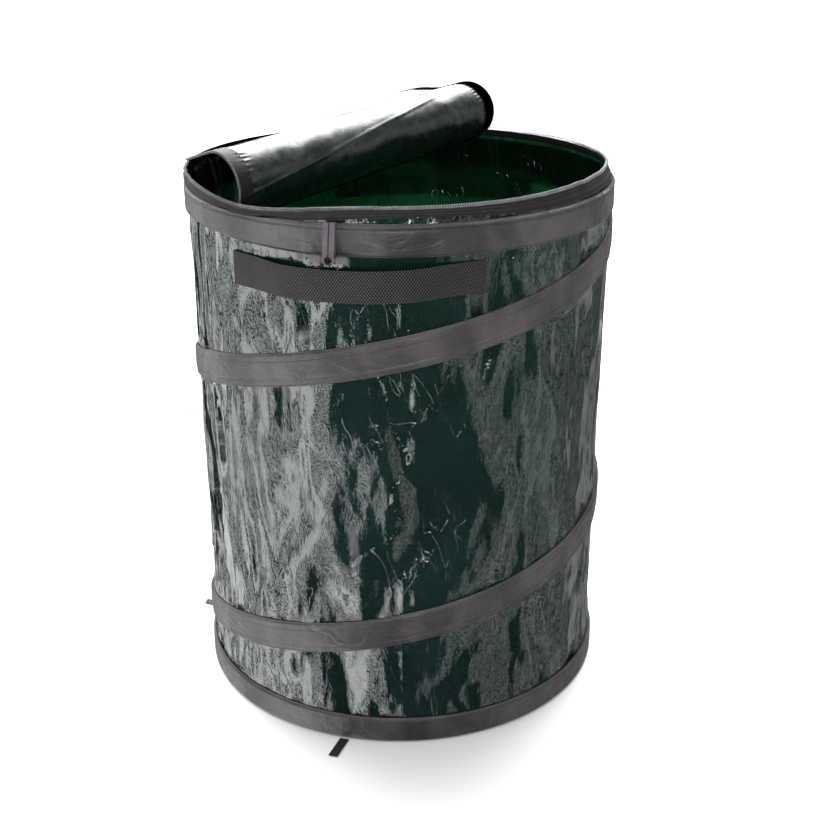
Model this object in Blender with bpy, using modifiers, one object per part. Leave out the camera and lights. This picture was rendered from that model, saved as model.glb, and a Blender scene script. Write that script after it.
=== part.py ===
"""Collapsible trash can: a tarp wall held open by one coiled spring wire, with a zipped lid.

The axis of the can is Z, the floor is Z = 0 and the front, where the photograph looks, is -Y.
Angles around the can are in degrees from +X towards +Y, so 270 is the front.
All sizes are in metres.
"""
import math

import bmesh
import bpy
import numpy as np
from mathutils import Matrix, Vector

# Overall sizes
CAN_DIAMETER = 0.4826
WALL_TOP = 0.600
TURN_STEPS = 54
SEAT_GAP = 0.0003

# Tarp and its casings
TARP_THICKNESS = 0.0006
CASING_THICKNESS = 0.0008
CASING_SHOULDER = 0.003
RIM_CASING_WIDTH = 0.032
SPIRAL_CASING_WIDTH = 0.037
BASE_CASING_WIDTH = 0.031
TARP_SHOWN_ABOVE_CASING = 0.006
WALL_DRAW_IN = 0.0040

# Spring wire
WIRE_DIAMETER = 0.0030
RIM_WIRE_DROP = 0.0105
BASE_WIRE_HEIGHT = 0.010
SPRING_PITCH = 0.317
UPPER_PASS_HEIGHT = 0.463
UPPER_PASS_ANGLE = 270.0
EASE_ANGLE = 25.0
WIRE_SELF_GAP = 0.0006
MOUTH_NEAR = 0.004
MOUTH_FAR = 0.0085

# Wall rings that sink one inside the next as the can collapses
RING_COUNT = 7
TOP_RING_HEIGHT = 0.095
ROWS_PER_RING = 2
WALL_SEAM_ANGLE = 96.0
WALL_SEAM_WIDTH = 0.014

# Zipper round the mouth
TAPE_THICKNESS = 0.0008
TAPE_LAP = 0.0035
TAPE_HEIGHT = 0.0085
TAPE_LEAN = 0.0032
COIL_DIAMETER = 0.0024
ZIP_END_MARGIN = 2.0

# Lid, cut into stiff strips across the flap so that it rolls
HINGE_ANGLE = 147.5
HINGE_HALF_ANGLE = 29.5
LID_CLEARANCE = 0.0058
LID_STRIP_GAP = 0.00045
LID_TAPE_WIDTH = 0.018
FIRST_ARCH_LENGTH = 0.069
SECOND_ARCH_LENGTH = 0.086
CURL_STRIP_LENGTH = 0.0215
CURL_STRIP_COUNT = 4
ARCH_RISE_ANGLE = 20.0
ARCH_BEND_ANGLE = 3.0
CURL_BEND_ANGLE = 35.0
ARCH_SLANT = 12.0
CURL_SLANT = 6.0
LID_EDGE_STEPS = 6

# Zipper slider and its pull
SLIDER_LENGTH = 0.011
SLIDER_WALL = 0.0016
SLIDER_DEPTH = 0.0050
SLIDER_PLATE = 0.0016
SLIDER_CLEARANCE = 0.0006
SLIDER_END_ANGLE = 7.0
BRIDGE_WIDTH = 0.0020
BRIDGE_BAR = 0.0009
BRIDGE_SPAN = 0.0034
PULL_LENGTH = 0.026
PULL_WIDTH = 0.0070
PULL_THICKNESS = 0.0012
PULL_EYE_BAR = 0.0012
PULL_WINDOW = 0.0040

# Webbing handles
STRAP_WIDTH = 0.033
STRAP_THICKNESS = 0.0018
STRAP_STANDOFF = 0.0095
STRAP_BELOW_CASING = 0.0115
FRONT_HANDLE_ANGLE = 257.0
HANDLE_HALF_ANGLE = 33.2
SEWN_END_ANGLE = 6.0
HANDLE_STEPS = 20

# Toggles at the rim and ribbon loops at the base, which hold the can folded
FASTENER_ANGLES = {"front": 254.0, "left": 164.0, "rear": 74.0}
TOGGLE_DROP = 0.0345
TOGGLE_BAR_DIAMETER = 0.008
TOGGLE_BAR_LENGTH = 0.042
TOGGLE_WAIST = 0.0008
RIBBON_THICKNESS = 0.0008
RIBBON_STRAND_WIDTH = 0.0055
RIBBON_STRAND_GAP = 0.0012
LOOP_REACH = 0.036
LOOP_WIDTH = 0.015
LOOP_STRAND = 0.0026
LOOP_THICKNESS = 0.0012
LOOP_HINGE_OUT = 0.0007
ARC_STEPS = 10
ROOT_STEPS = 4

# Radii that follow from the sizes above
CASING_RADIUS = CAN_DIAMETER / 2
WIRE_PATH_RADIUS = CASING_RADIUS - CASING_THICKNESS - SEAT_GAP - WIRE_DIAMETER / 2
WALL_RADIUS = WIRE_PATH_RADIUS - WIRE_DIAMETER / 2 - SEAT_GAP
WALL_INNER_RADIUS = WALL_RADIUS - TARP_THICKNESS
SEWN_EDGE_RADIUS = WALL_RADIUS + SEAT_GAP + CASING_THICKNESS
TAPE_OUTER_RADIUS = WALL_RADIUS + SEAT_GAP + TAPE_THICKNESS
TAPE_TOP_RADIUS = TAPE_OUTER_RADIUS - TAPE_LEAN
COIL_PATH_RADIUS = TAPE_TOP_RADIUS - TAPE_THICKNESS / 2
RIBBON_ROOT_RADIUS = 1.5 * RIBBON_THICKNESS
TOGGLE_HINGE_RADIUS = SEWN_EDGE_RADIUS + SEAT_GAP + RIBBON_ROOT_RADIUS
LID_RADIUS = COIL_PATH_RADIUS - COIL_DIAMETER / 2 - LID_CLEARANCE

# Heights that follow from the sizes above
RIM_CASING_TOP = WALL_TOP - TARP_SHOWN_ABOVE_CASING
RIM_CASING_BOTTOM = RIM_CASING_TOP - RIM_CASING_WIDTH
RIM_WIRE_HEIGHT = RIM_CASING_TOP - RIM_WIRE_DROP
TAPE_BOTTOM = WALL_TOP - TAPE_LAP
TAPE_TOP = WALL_TOP + TAPE_HEIGHT
COIL_HEIGHT = TAPE_TOP + SEAT_GAP + COIL_DIAMETER / 2
LID_HEIGHT = TAPE_TOP + SEAT_GAP + TARP_THICKNESS / 2
STRAP_TOP = RIM_CASING_BOTTOM - STRAP_BELOW_CASING
STRAP_BOTTOM = STRAP_TOP - STRAP_WIDTH

# The turn angles at which the spring leaves the base ring and reaches the rim ring
FACET_ANGLE = 360.0 / TURN_STEPS
RISE_PER_DEGREE = SPRING_PITCH / 360.0
BASE_CORNER = UPPER_PASS_ANGLE - (UPPER_PASS_HEIGHT - BASE_WIRE_HEIGHT) / RISE_PER_DEGREE
RIM_CORNER = UPPER_PASS_ANGLE + (RIM_WIRE_HEIGHT - UPPER_PASS_HEIGHT) / RISE_PER_DEGREE
HINGE_CHORD = COIL_PATH_RADIUS * math.cos(math.radians(HINGE_HALF_ANGLE))

MATERIALS = {
    "tarp": ((0.020, 0.045, 0.036, 1.0), 0.32, 0.0),
    "casing": ((0.155, 0.140, 0.160, 1.0), 0.62, 0.0),
    "wire": ((0.42, 0.42, 0.43, 1.0), 0.35, 1.0),
    "zipper": ((0.035, 0.035, 0.038, 1.0), 0.60, 0.0),
    "webbing": ((0.022, 0.022, 0.026, 1.0), 0.70, 0.0),
    "toggle": ((0.090, 0.085, 0.095, 1.0), 0.40, 0.0),
    "slider": ((0.12, 0.12, 0.13, 1.0), 0.35, 0.9),
}


def clear_scene():
    for obj in list(bpy.data.objects):
        bpy.data.objects.remove(obj, do_unlink=True)


def make_collection(name):
    collection = bpy.data.collections.new(name)
    bpy.context.scene.collection.children.link(collection)
    return collection


def make_materials():
    for name, (colour, roughness, metallic) in MATERIALS.items():
        material = bpy.data.materials.new(name)
        material.use_nodes = True
        shader = material.node_tree.nodes["Principled BSDF"]
        shader.inputs["Base Color"].default_value = colour
        shader.inputs["Roughness"].default_value = roughness
        shader.inputs["Metallic"].default_value = metallic


def link(name, data, material, collection, parent=None, placement=None):
    """Make an object from a mesh or curve, and place it in the world under its parent."""
    obj = bpy.data.objects.new(name, data)
    data.materials.append(bpy.data.materials[material])
    collection.objects.link(obj)
    place(obj, parent, placement)
    return obj


def place(obj, parent, placement):
    world = placement if placement is not None else Matrix.Identity(4)
    if parent is None:
        obj.matrix_basis = world
        return
    obj.parent = parent
    obj.matrix_basis = world_of(parent).inverted() @ world


def world_of(obj):
    """The world matrix, found from the parents, before the first scene update."""
    if obj.parent is None:
        return obj.matrix_basis.copy()
    return world_of(obj.parent) @ obj.matrix_basis


def joint_empty(name, collection, placement, parent=None):
    """An empty on a joint's axis, which carries the pieces that move with it."""
    empty = bpy.data.objects.new(name, None)
    empty.empty_display_size = 0.02
    collection.objects.link(empty)
    place(empty, parent, placement)
    return empty


def around(radius, angle, height):
    """A point at a radius, an angle in degrees and a height."""
    turn = math.radians(angle)
    return Vector((radius * math.cos(turn), radius * math.sin(turn), height))


def frame_at(radius, angle, height):
    """A frame at a point of the can: X outwards, Y along the turn, Z up."""
    return Matrix.Translation(around(radius, angle, height)) @ Matrix.Rotation(math.radians(angle), 4, "Z")


def smooth(value):
    value = min(max(value, 0.0), 1.0)
    return value * value * (3.0 - 2.0 * value)


def sheet(name, rows, closed, thickness, material, collection, parent=None, placement=None):
    """A surface through rows of points, thickened inwards by Solidify.

    Each row runs round the can with the angle rising, and the rows go from low to high,
    so the faces point away from the axis.
    """
    origin = placement if placement is not None else Matrix.Identity(4)
    to_local = origin.inverted()
    mesh = bpy.data.meshes.new(name)
    builder = bmesh.new()
    grid = [[builder.verts.new(to_local @ point) for point in row] for row in rows]
    columns = len(rows[0])
    spans = columns if closed else columns - 1
    for low, high in zip(grid, grid[1:]):
        for i in range(spans):
            j = (i + 1) % columns
            builder.faces.new((low[i], low[j], high[j], high[i]))
    builder.to_mesh(mesh)
    builder.free()
    mesh.shade_smooth()
    obj = link(name, mesh, material, collection, parent, placement)
    wall = obj.modifiers.new("thickness", "SOLIDIFY")
    wall.thickness = thickness
    wall.offset = -1.0
    wall.use_even_offset = True
    return obj


def flat_outline(name, loops, thickness, material, collection, parent, placement):
    """A flat shape in the XY plane of its placement, from closed loops of (x, y) points."""
    curve = bpy.data.curves.new(name, "CURVE")
    curve.dimensions = "2D"
    curve.fill_mode = "BOTH"
    curve.extrude = thickness / 2
    for loop in loops:
        spline = curve.splines.new("POLY")
        spline.points.add(len(loop) - 1)
        for point, (x, y) in zip(spline.points, loop):
            point.co = (x, y, 0.0, 1.0)
        spline.use_cyclic_u = True
    return link(name, curve, material, collection, parent, placement)


def tube(name, points, diameter, material, collection, parent=None, placement=None):
    """A round wire through the points, with closed ends."""
    origin = placement if placement is not None else Matrix.Identity(4)
    to_local = origin.inverted()
    curve = bpy.data.curves.new(name, "CURVE")
    curve.dimensions = "3D"
    curve.bevel_depth = diameter / 2
    curve.bevel_resolution = 1
    curve.use_fill_caps = True
    spline = curve.splines.new("POLY")
    spline.points.add(len(points) - 1)
    for point, place_at in zip(spline.points, points):
        point.co = (*(to_local @ place_at), 1.0)
    return link(name, curve, material, collection, parent, placement)


def arc(centre_x, centre_y, radius, start, end, steps):
    """Points of an arc in a plane, both ends included, with the angles in degrees."""
    angles = [math.radians(start + (end - start) * k / steps) for k in range(steps + 1)]
    return [(centre_x + radius * math.cos(a), centre_y + radius * math.sin(a)) for a in angles]


def wire_height(angle):
    """Height of the spring wire at a turn angle that counts past 360.

    The wire is level in both end rings and climbs at a steady rate between them. A parabola
    of twice the ease angle joins each ring to the climb.
    """
    if angle <= BASE_CORNER - EASE_ANGLE:
        return BASE_WIRE_HEIGHT
    if angle >= RIM_CORNER + EASE_ANGLE:
        return RIM_WIRE_HEIGHT
    if angle < BASE_CORNER + EASE_ANGLE:
        run = angle - (BASE_CORNER - EASE_ANGLE)
        return BASE_WIRE_HEIGHT + RISE_PER_DEGREE * run * run / (4 * EASE_ANGLE)
    if angle > RIM_CORNER - EASE_ANGLE:
        run = RIM_CORNER + EASE_ANGLE - angle
        return RIM_WIRE_HEIGHT - RISE_PER_DEGREE * run * run / (4 * EASE_ANGLE)
    return BASE_WIRE_HEIGHT + RISE_PER_DEGREE * (angle - BASE_CORNER)


def climb_passes(angle):
    """Heights of the climbing wire at a place round the can, one for each pass there."""
    first = math.ceil((BASE_CORNER - EASE_ANGLE - angle) / 360.0)
    last = math.floor((RIM_CORNER + EASE_ANGLE - angle) / 360.0)
    return [wire_height(angle + 360.0 * turn) for turn in range(first, last + 1)]


def wall_radius(angle, height):
    """Outer radius of the tarp, which draws in between one casing and the next."""
    edges = [BASE_CASING_WIDTH, RIM_CASING_BOTTOM]
    half = SPIRAL_CASING_WIDTH / 2
    for pass_height in climb_passes(angle):
        edges += [pass_height - half, pass_height + half]
    covered = height <= BASE_CASING_WIDTH or height >= RIM_CASING_BOTTOM
    covered = covered or any(abs(height - p) <= half for p in climb_passes(angle))
    if covered:
        return WALL_RADIUS
    below = max(edge for edge in edges if edge <= height)
    above = min(edge for edge in edges if edge >= height)
    span = above - below
    full_span = SPRING_PITCH - SPIRAL_CASING_WIDTH
    depth = WALL_DRAW_IN * min(1.0, span / full_span)
    return WALL_RADIUS - depth * math.sin(math.pi * (height - below) / span)


def edge_radius(angle, edge_height):
    """Outer radius of a casing's edge: sewn flat, or lifted where the wire passes under it."""
    nearest = min((abs(edge_height - p) for p in climb_passes(angle)), default=1.0)
    lift = smooth((MOUTH_FAR - nearest) / (MOUTH_FAR - MOUTH_NEAR))
    return SEWN_EDGE_RADIUS + (CASING_RADIUS - SEWN_EDGE_RADIUS) * lift


def ring_angles():
    return [FACET_ANGLE * k for k in range(TURN_STEPS)]


def ring_bottoms():
    """Lowest height of each wall ring. The lower rings share what the top ring leaves."""
    lower = (WALL_TOP - TOP_RING_HEIGHT) / (RING_COUNT - 1)
    return [lower * k for k in range(RING_COUNT)]


def build_wall(collection, joints):
    """The tarp wall as stacked rings, each on the empty of the body that carries it."""
    bottoms = ring_bottoms()
    tops = bottoms[1:] + [WALL_TOP]
    for number, (low, high) in enumerate(zip(bottoms, tops), start=1):
        base = low if number == 1 else low + SEAT_GAP
        heights = [base + (high - base) * k / ROWS_PER_RING for k in range(ROWS_PER_RING + 1)]
        rows = [[around(wall_radius(a, h), a, h) for a in ring_angles()] for h in heights]
        sheet(
            f"tarp_wall_{number}", rows, True, TARP_THICKNESS, "tarp", collection,
            joints[number], Matrix.Translation((0, 0, low)),
        )


def build_wall_seam(collection):
    """The overlap seam that closes the tarp into a cylinder, inside the wall."""
    half = math.degrees(WALL_SEAM_WIDTH / 2 / WALL_RADIUS)
    lowest = TARP_THICKNESS + 2 * SEAT_GAP
    seam_radius = WALL_INNER_RADIUS - WALL_DRAW_IN - SEAT_GAP
    angles = [WALL_SEAM_ANGLE - half, WALL_SEAM_ANGLE, WALL_SEAM_ANGLE + half]
    steps = (RING_COUNT - 1) * ROWS_PER_RING
    rows = []
    for k in range(steps + 1):
        height = lowest + (WALL_TOP - lowest) * k / steps
        draw = WALL_RADIUS - min(wall_radius(a, height) for a in angles)
        radius = seam_radius + WALL_DRAW_IN - min(WALL_DRAW_IN, draw + SEAT_GAP)
        rows.append([around(radius, a, height) for a in angles])
    sheet("wall_seam", rows, False, TARP_THICKNESS, "tarp", collection)


def build_floor_panel(collection):
    bpy.ops.mesh.primitive_cylinder_add(
        vertices=TURN_STEPS,
        radius=WALL_INNER_RADIUS - SEAT_GAP,
        depth=TARP_THICKNESS,
        location=(0, 0, TARP_THICKNESS / 2),
        rotation=(0, 0, math.radians(90.0)),
    )
    obj = bpy.context.object
    obj.name = "floor_panel"
    obj.data.materials.append(bpy.data.materials["tarp"])
    for owner in list(obj.users_collection):
        owner.objects.unlink(obj)
    collection.objects.link(obj)


def build_rim_casing(collection, rim):
    """Sleeve round the rim ring. Its lower edge lifts where the spring comes up into it."""
    rows = [[] for _ in range(4)]
    for angle in ring_angles():
        section = (
            (edge_radius(angle, RIM_CASING_BOTTOM), RIM_CASING_BOTTOM),
            (CASING_RADIUS, RIM_CASING_BOTTOM + CASING_SHOULDER),
            (CASING_RADIUS, RIM_CASING_TOP - CASING_SHOULDER),
            (SEWN_EDGE_RADIUS, RIM_CASING_TOP),
        )
        for row, (radius, height) in zip(rows, section):
            row.append(around(radius, angle, height))
    sheet(
        "rim_casing", rows, True, CASING_THICKNESS, "casing", collection,
        rim, Matrix.Translation((0, 0, RIM_CASING_BOTTOM)),
    )


def build_base_casing(collection):
    """Sleeve round the base ring, turned in under it to the foot of the wall."""
    rows = [[] for _ in range(5)]
    for angle in ring_angles():
        section = (
            (WALL_RADIUS + SEAT_GAP, 0.0),
            (CASING_RADIUS - CASING_THICKNESS, 0.0),
            (CASING_RADIUS, CASING_THICKNESS),
            (CASING_RADIUS, BASE_CASING_WIDTH - CASING_SHOULDER),
            (edge_radius(angle, BASE_CASING_WIDTH), BASE_CASING_WIDTH),
        )
        for row, (radius, height) in zip(rows, section):
            row.append(around(radius, angle, height))
    sheet("base_casing", rows, True, CASING_THICKNESS, "casing", collection)


def build_spiral_casing(collection):
    """Sleeve that follows the climbing wire, cut off along the rim and base casings."""
    half = SPIRAL_CASING_WIDTH / 2
    lowest = BASE_CASING_WIDTH + SEAT_GAP
    highest = RIM_CASING_BOTTOM - SEAT_GAP
    least_width = 3 * CASING_SHOULDER
    first = math.ceil((BASE_CORNER - EASE_ANGLE) / FACET_ANGLE)
    last = math.floor((RIM_CORNER + EASE_ANGLE) / FACET_ANGLE)
    rows = [[] for _ in range(4)]
    for step in range(first, last + 1):
        angle = step * FACET_ANGLE
        bottom = max(wire_height(angle) - half, lowest)
        top = min(wire_height(angle) + half, highest)
        if top - bottom < least_width:
            continue
        section = (
            (edge_radius(angle, bottom), bottom),
            (CASING_RADIUS, bottom + CASING_SHOULDER),
            (CASING_RADIUS, top - CASING_SHOULDER),
            (edge_radius(angle, top), top),
        )
        for row, (radius, height) in zip(rows, section):
            row.append(around(radius, angle, height))
    sheet("spiral_casing", rows, False, CASING_THICKNESS, "casing", collection)


def build_spring_wire(collection):
    """One unbroken wire: the base ring, the climb and the rim ring."""
    clear_rise = WIRE_DIAMETER + WIRE_SELF_GAP
    clear_run = math.sqrt(clear_rise * 4 * EASE_ANGLE / RISE_PER_DEGREE)
    start = BASE_CORNER - EASE_ANGLE - 360.0 + clear_run
    end = RIM_CORNER + EASE_ANGLE + 360.0 - clear_run
    first = math.ceil(start / FACET_ANGLE)
    last = math.floor(end / FACET_ANGLE)
    turns = [step * FACET_ANGLE for step in range(first, last + 1)]
    points = [around(WIRE_PATH_RADIUS, a, wire_height(a)) for a in turns]
    tube("spring_wire", points, WIRE_DIAMETER, "wire", collection)
    print(f"Least gap between the wire's turns: {1000 * least_self_gap(points):.2f} mm")


def least_self_gap(points):
    """Least distance between turns of the wire, less its diameter."""
    path = np.array([tuple(point) for point in points])
    apart = TURN_STEPS // 2
    best = 1.0
    for offset in range(apart, len(path)):
        distance = np.linalg.norm(path[offset:] - path[:-offset], axis=1).min()
        best = min(best, float(distance))
    return best - WIRE_DIAMETER


def build_zip_tape(collection, rim):
    """Tape that stands up from the wall's top edge and leans in to carry the coil."""
    section = (
        (TAPE_OUTER_RADIUS, TAPE_BOTTOM),
        (TAPE_OUTER_RADIUS, WALL_TOP),
        (TAPE_TOP_RADIUS, TAPE_TOP),
    )
    rows = [[around(radius, a, height) for a in ring_angles()] for radius, height in section]
    sheet(
        "zip_tape", rows, True, TAPE_THICKNESS, "zipper", collection,
        rim, Matrix.Translation((0, 0, TAPE_BOTTOM)),
    )


def build_zip_coil(collection, rim):
    """Coil of the zipper on the tape's top edge, from one end of the hinge to the other."""
    start = HINGE_ANGLE + HINGE_HALF_ANGLE + ZIP_END_MARGIN
    end = HINGE_ANGLE - HINGE_HALF_ANGLE - ZIP_END_MARGIN + 360.0
    steps = math.ceil((end - start) / FACET_ANGLE)
    angles = [start + (end - start) * k / steps for k in range(steps + 1)]
    points = [around(COIL_PATH_RADIUS, a, COIL_HEIGHT) for a in angles]
    tube(
        "zip_coil", points, COIL_DIAMETER, "zipper", collection,
        rim, Matrix.Translation((0, 0, COIL_HEIGHT)),
    )


def lid_folds():
    """Folds across the flat lid, from the sewn hinge to the last one before the free edge.

    Each is the name of the strip after it, its distance from the can's axis towards the free
    edge, the angle by which its right end leads its left end, and its bend at rest, upwards.
    The slant makes the lid roll up as a cone, wider at the right.
    """
    at = -HINGE_CHORD
    folds = [("arch_1", at, 0.0, ARCH_RISE_ANGLE)]
    at += FIRST_ARCH_LENGTH
    folds.append(("arch_2", at, ARCH_SLANT, -ARCH_BEND_ANGLE))
    at += SECOND_ARCH_LENGTH
    for number in range(1, CURL_STRIP_COUNT + 1):
        folds.append((f"curl_{number}", at, CURL_SLANT, -CURL_BEND_ANGLE))
        at += CURL_STRIP_LENGTH
    folds.append(("tail", at, CURL_SLANT, -CURL_BEND_ANGLE))
    return folds


def fold_ends(radius, at, slant, gap):
    """Angles at which the line beside a fold meets a circle of the flat lid: left, then right."""
    reach = math.degrees(math.acos((at * math.cos(math.radians(slant)) + gap) / radius))
    return -slant - reach, -slant + reach


def edge_arcs(radius, fold, next_fold):
    """The strip's two stretches of a circle of the flat lid, or the one round its free edge."""
    low_left, low_right = fold_ends(radius, fold[1], fold[2], LID_STRIP_GAP)
    if next_fold is None:
        return [arc(0.0, 0.0, radius, low_left, low_right, 6 * LID_EDGE_STEPS)]
    high_left, high_right = fold_ends(radius, next_fold[1], next_fold[2], -LID_STRIP_GAP)
    left = arc(0.0, 0.0, radius, low_left, high_left, LID_EDGE_STEPS)
    right = arc(0.0, 0.0, radius, high_right, low_right, LID_EDGE_STEPS)
    return [left, right]


def beside_fold(points, fold):
    """Points of the flat lid in the frame of a fold: X square to it, Y along it."""
    turn = math.radians(fold[2])
    cosine = math.cos(turn)
    sine = math.sin(turn)
    return [
        ((x - fold[1]) * cosine - y * sine, (x - fold[1]) * sine + y * cosine) for x, y in points
    ]


def strip_outline(fold, next_fold):
    """Outline of a strip of the lid: straight along its folds, round at the lid's edge."""
    points = [point for edge in edge_arcs(LID_RADIUS, fold, next_fold) for point in edge]
    return beside_fold(points, fold)


def tape_outlines(fold, next_fold):
    """Outlines of the edge tape on one strip: one at each end, or one round the free edge."""
    outer = edge_arcs(LID_RADIUS, fold, next_fold)
    inner = edge_arcs(LID_RADIUS - LID_TAPE_WIDTH, fold, next_fold)
    return [beside_fold(edge + back[::-1], fold) for edge, back in zip(outer, inner)]


def lid_frames(hinge_lift):
    """Frames at rest of each strip: its pivot, and its own frame in the lid's middle plane.

    The sewn hinge turns on the top faces of the tapes, so that the lid can fold right back.
    The other folds turn in the middle plane.
    """
    frame = frame_at(0.0, HINGE_ANGLE + 180.0, LID_HEIGHT)
    last_at = 0.0
    last_slant = 0.0
    lift = hinge_lift
    frames = []
    for _, at, slant, bend in lid_folds():
        run = Matrix.Rotation(math.radians(last_slant), 4, "Z") @ Vector((at - last_at, 0.0, lift))
        turn = Matrix.Rotation(math.radians(last_slant - slant), 4, "Z")
        pivot = frame @ Matrix.Translation(run) @ turn @ Matrix.Rotation(math.radians(-bend), 4, "Y")
        frame = pivot @ Matrix.Translation((0.0, 0.0, -lift))
        frames.append((pivot, frame))
        last_at = at
        last_slant = slant
        lift = 0.0
    return frames


def build_lid(collection, rim):
    """The sewn part of the lid, and the strips of its flap in a chain of hinges."""
    tape_lift = (TARP_THICKNESS + TAPE_THICKNESS) / 2 + SEAT_GAP
    sewn_radius = TAPE_TOP_RADIUS
    edge = math.degrees(math.acos((HINGE_CHORD + LID_STRIP_GAP) / sewn_radius))
    steps = 2 * LID_EDGE_STEPS
    seat = frame_at(0.0, HINGE_ANGLE, LID_HEIGHT)
    outline = arc(0, 0, sewn_radius, -edge, edge, steps)
    flat_outline("lid_hinge_panel", [outline], TARP_THICKNESS, "tarp", collection, rim, seat)
    tape_edge = math.degrees(math.acos((HINGE_CHORD + LID_STRIP_GAP) / (sewn_radius - LID_TAPE_WIDTH)))
    band = arc(0, 0, sewn_radius, -edge, edge, steps)
    band += arc(0, 0, sewn_radius - LID_TAPE_WIDTH, tape_edge, -tape_edge, steps)
    above = seat @ Matrix.Translation((0, 0, tape_lift))
    flat_outline("lid_hinge_tape", [band], TAPE_THICKNESS, "zipper", collection, rim, above)
    parent = rim
    folds = lid_folds()
    hinge_lift = tape_lift + TAPE_THICKNESS / 2
    for fold, next_fold, (pivot, placement) in zip(folds, folds[1:] + [None], lid_frames(hinge_lift)):
        name = fold[0]
        joint = joint_empty(f"joint_lid_{name}", collection, pivot, parent)
        flat_outline(
            f"lid_{name}", [strip_outline(fold, next_fold)], TARP_THICKNESS, "tarp",
            collection, joint, placement,
        )
        above = placement @ Matrix.Translation((0, 0, tape_lift))
        outlines = tape_outlines(fold, next_fold)
        sides = ("_left", "_right") if len(outlines) == 2 else ("",)
        for side, outline in zip(sides, outlines):
            flat_outline(
                f"lid_tape_{name}{side}", [outline], TAPE_THICKNESS, "zipper", collection, joint, above,
            )
        parent = joint


def box_mesh(name, low, high):
    """A box between two corners, as a mesh."""
    mesh = bpy.data.meshes.new(name)
    builder = bmesh.new()
    bmesh.ops.create_cube(builder, size=1.0)
    centre = (Vector(low) + Vector(high)) / 2
    size = Vector(high) - Vector(low)
    for vert in builder.verts:
        vert.co = Vector(c * s for c, s in zip(vert.co, size)) + centre
    builder.to_mesh(mesh)
    builder.free()
    return mesh


def cut(obj, mesh, placement, guides):
    """Cut a mesh out of an object, and keep the cutter as a hidden guide."""
    cutter = bpy.data.objects.new(mesh.name, mesh)
    cutter.matrix_basis = placement
    cutter.hide_render = True
    cutter.display_type = "WIRE"
    guides.objects.link(cutter)
    boolean = obj.modifiers.new(mesh.name, "BOOLEAN")
    boolean.operation = "DIFFERENCE"
    boolean.solver = "EXACT"
    boolean.object = cutter


def build_slider(collection, guides, rim):
    """Slider that straddles the tape, with a bridge on top and the pull through the bridge."""
    angle = HINGE_ANGLE - HINGE_HALF_ANGLE - SLIDER_END_ANGLE
    joint = joint_empty("joint_slider", collection, Matrix.Translation((0, 0, TAPE_TOP)), rim)
    place_at = frame_at(0.0, angle, 0.0)
    coil_half = COIL_DIAMETER / 2 + SLIDER_CLEARANCE
    bottom = TAPE_TOP - SLIDER_DEPTH
    lean_at_bottom = TAPE_LEAN * SLIDER_DEPTH / TAPE_HEIGHT
    slot_in = TAPE_TOP_RADIUS - TAPE_THICKNESS - SLIDER_CLEARANCE
    slot_out = TAPE_TOP_RADIUS + lean_at_bottom + SLIDER_CLEARANCE
    inner = min(COIL_PATH_RADIUS - coil_half, slot_in) - SLIDER_WALL
    outer = max(COIL_PATH_RADIUS + coil_half, slot_out) + SLIDER_WALL
    roof = COIL_HEIGHT + coil_half
    half = SLIDER_LENGTH / 2
    body = link(
        "zip_slider", box_mesh("zip_slider", (inner, -half, bottom), (outer, half, roof + SLIDER_PLATE)),
        "slider", collection, joint, place_at,
    )
    tunnel = box_mesh(
        "coil_tunnel", (COIL_PATH_RADIUS - coil_half, -2 * half, TAPE_TOP - SLIDER_CLEARANCE),
        (COIL_PATH_RADIUS + coil_half, 2 * half, roof),
    )
    slot = box_mesh(
        "tape_slot", (slot_in, -2 * half, bottom - SLIDER_DEPTH), (slot_out, 2 * half, TAPE_TOP),
    )
    cut(body, tunnel, place_at, guides)
    cut(body, slot, place_at, guides)
    bevel = body.modifiers.new("rounded", "BEVEL")
    bevel.width = SLIDER_WALL / 4
    bevel.segments = 1
    middle = (inner + outer) / 2
    axis_height = roof + SLIDER_PLATE + SEAT_GAP + PULL_THICKNESS / 2
    build_bridge(collection, joint, angle, middle, roof + SLIDER_PLATE + SEAT_GAP)
    build_pull(collection, joint, angle, middle, axis_height)


def build_bridge(collection, joint, angle, middle, foot):
    """Arch on the slider's top plate that the pull's eye turns in."""
    half = BRIDGE_SPAN / 2
    clear = PULL_THICKNESS + 2 * SEAT_GAP
    outer_half = half + BRIDGE_BAR
    outline = [
        (-outer_half, 0.0),
        (-half, 0.0),
        (-half, clear),
        (half, clear),
        (half, 0.0),
        (outer_half, 0.0),
        (outer_half, clear),
        (half, clear + BRIDGE_BAR),
        (-half, clear + BRIDGE_BAR),
        (-outer_half, clear),
    ]
    upright = frame_at(middle, angle, foot) @ Matrix(
        ((0, 0, 1, 0), (1, 0, 0, 0), (0, 1, 0, 0), (0, 0, 0, 1))
    )
    flat_outline("slider_bridge", [outline], BRIDGE_WIDTH, "slider", collection, joint, upright)


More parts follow.
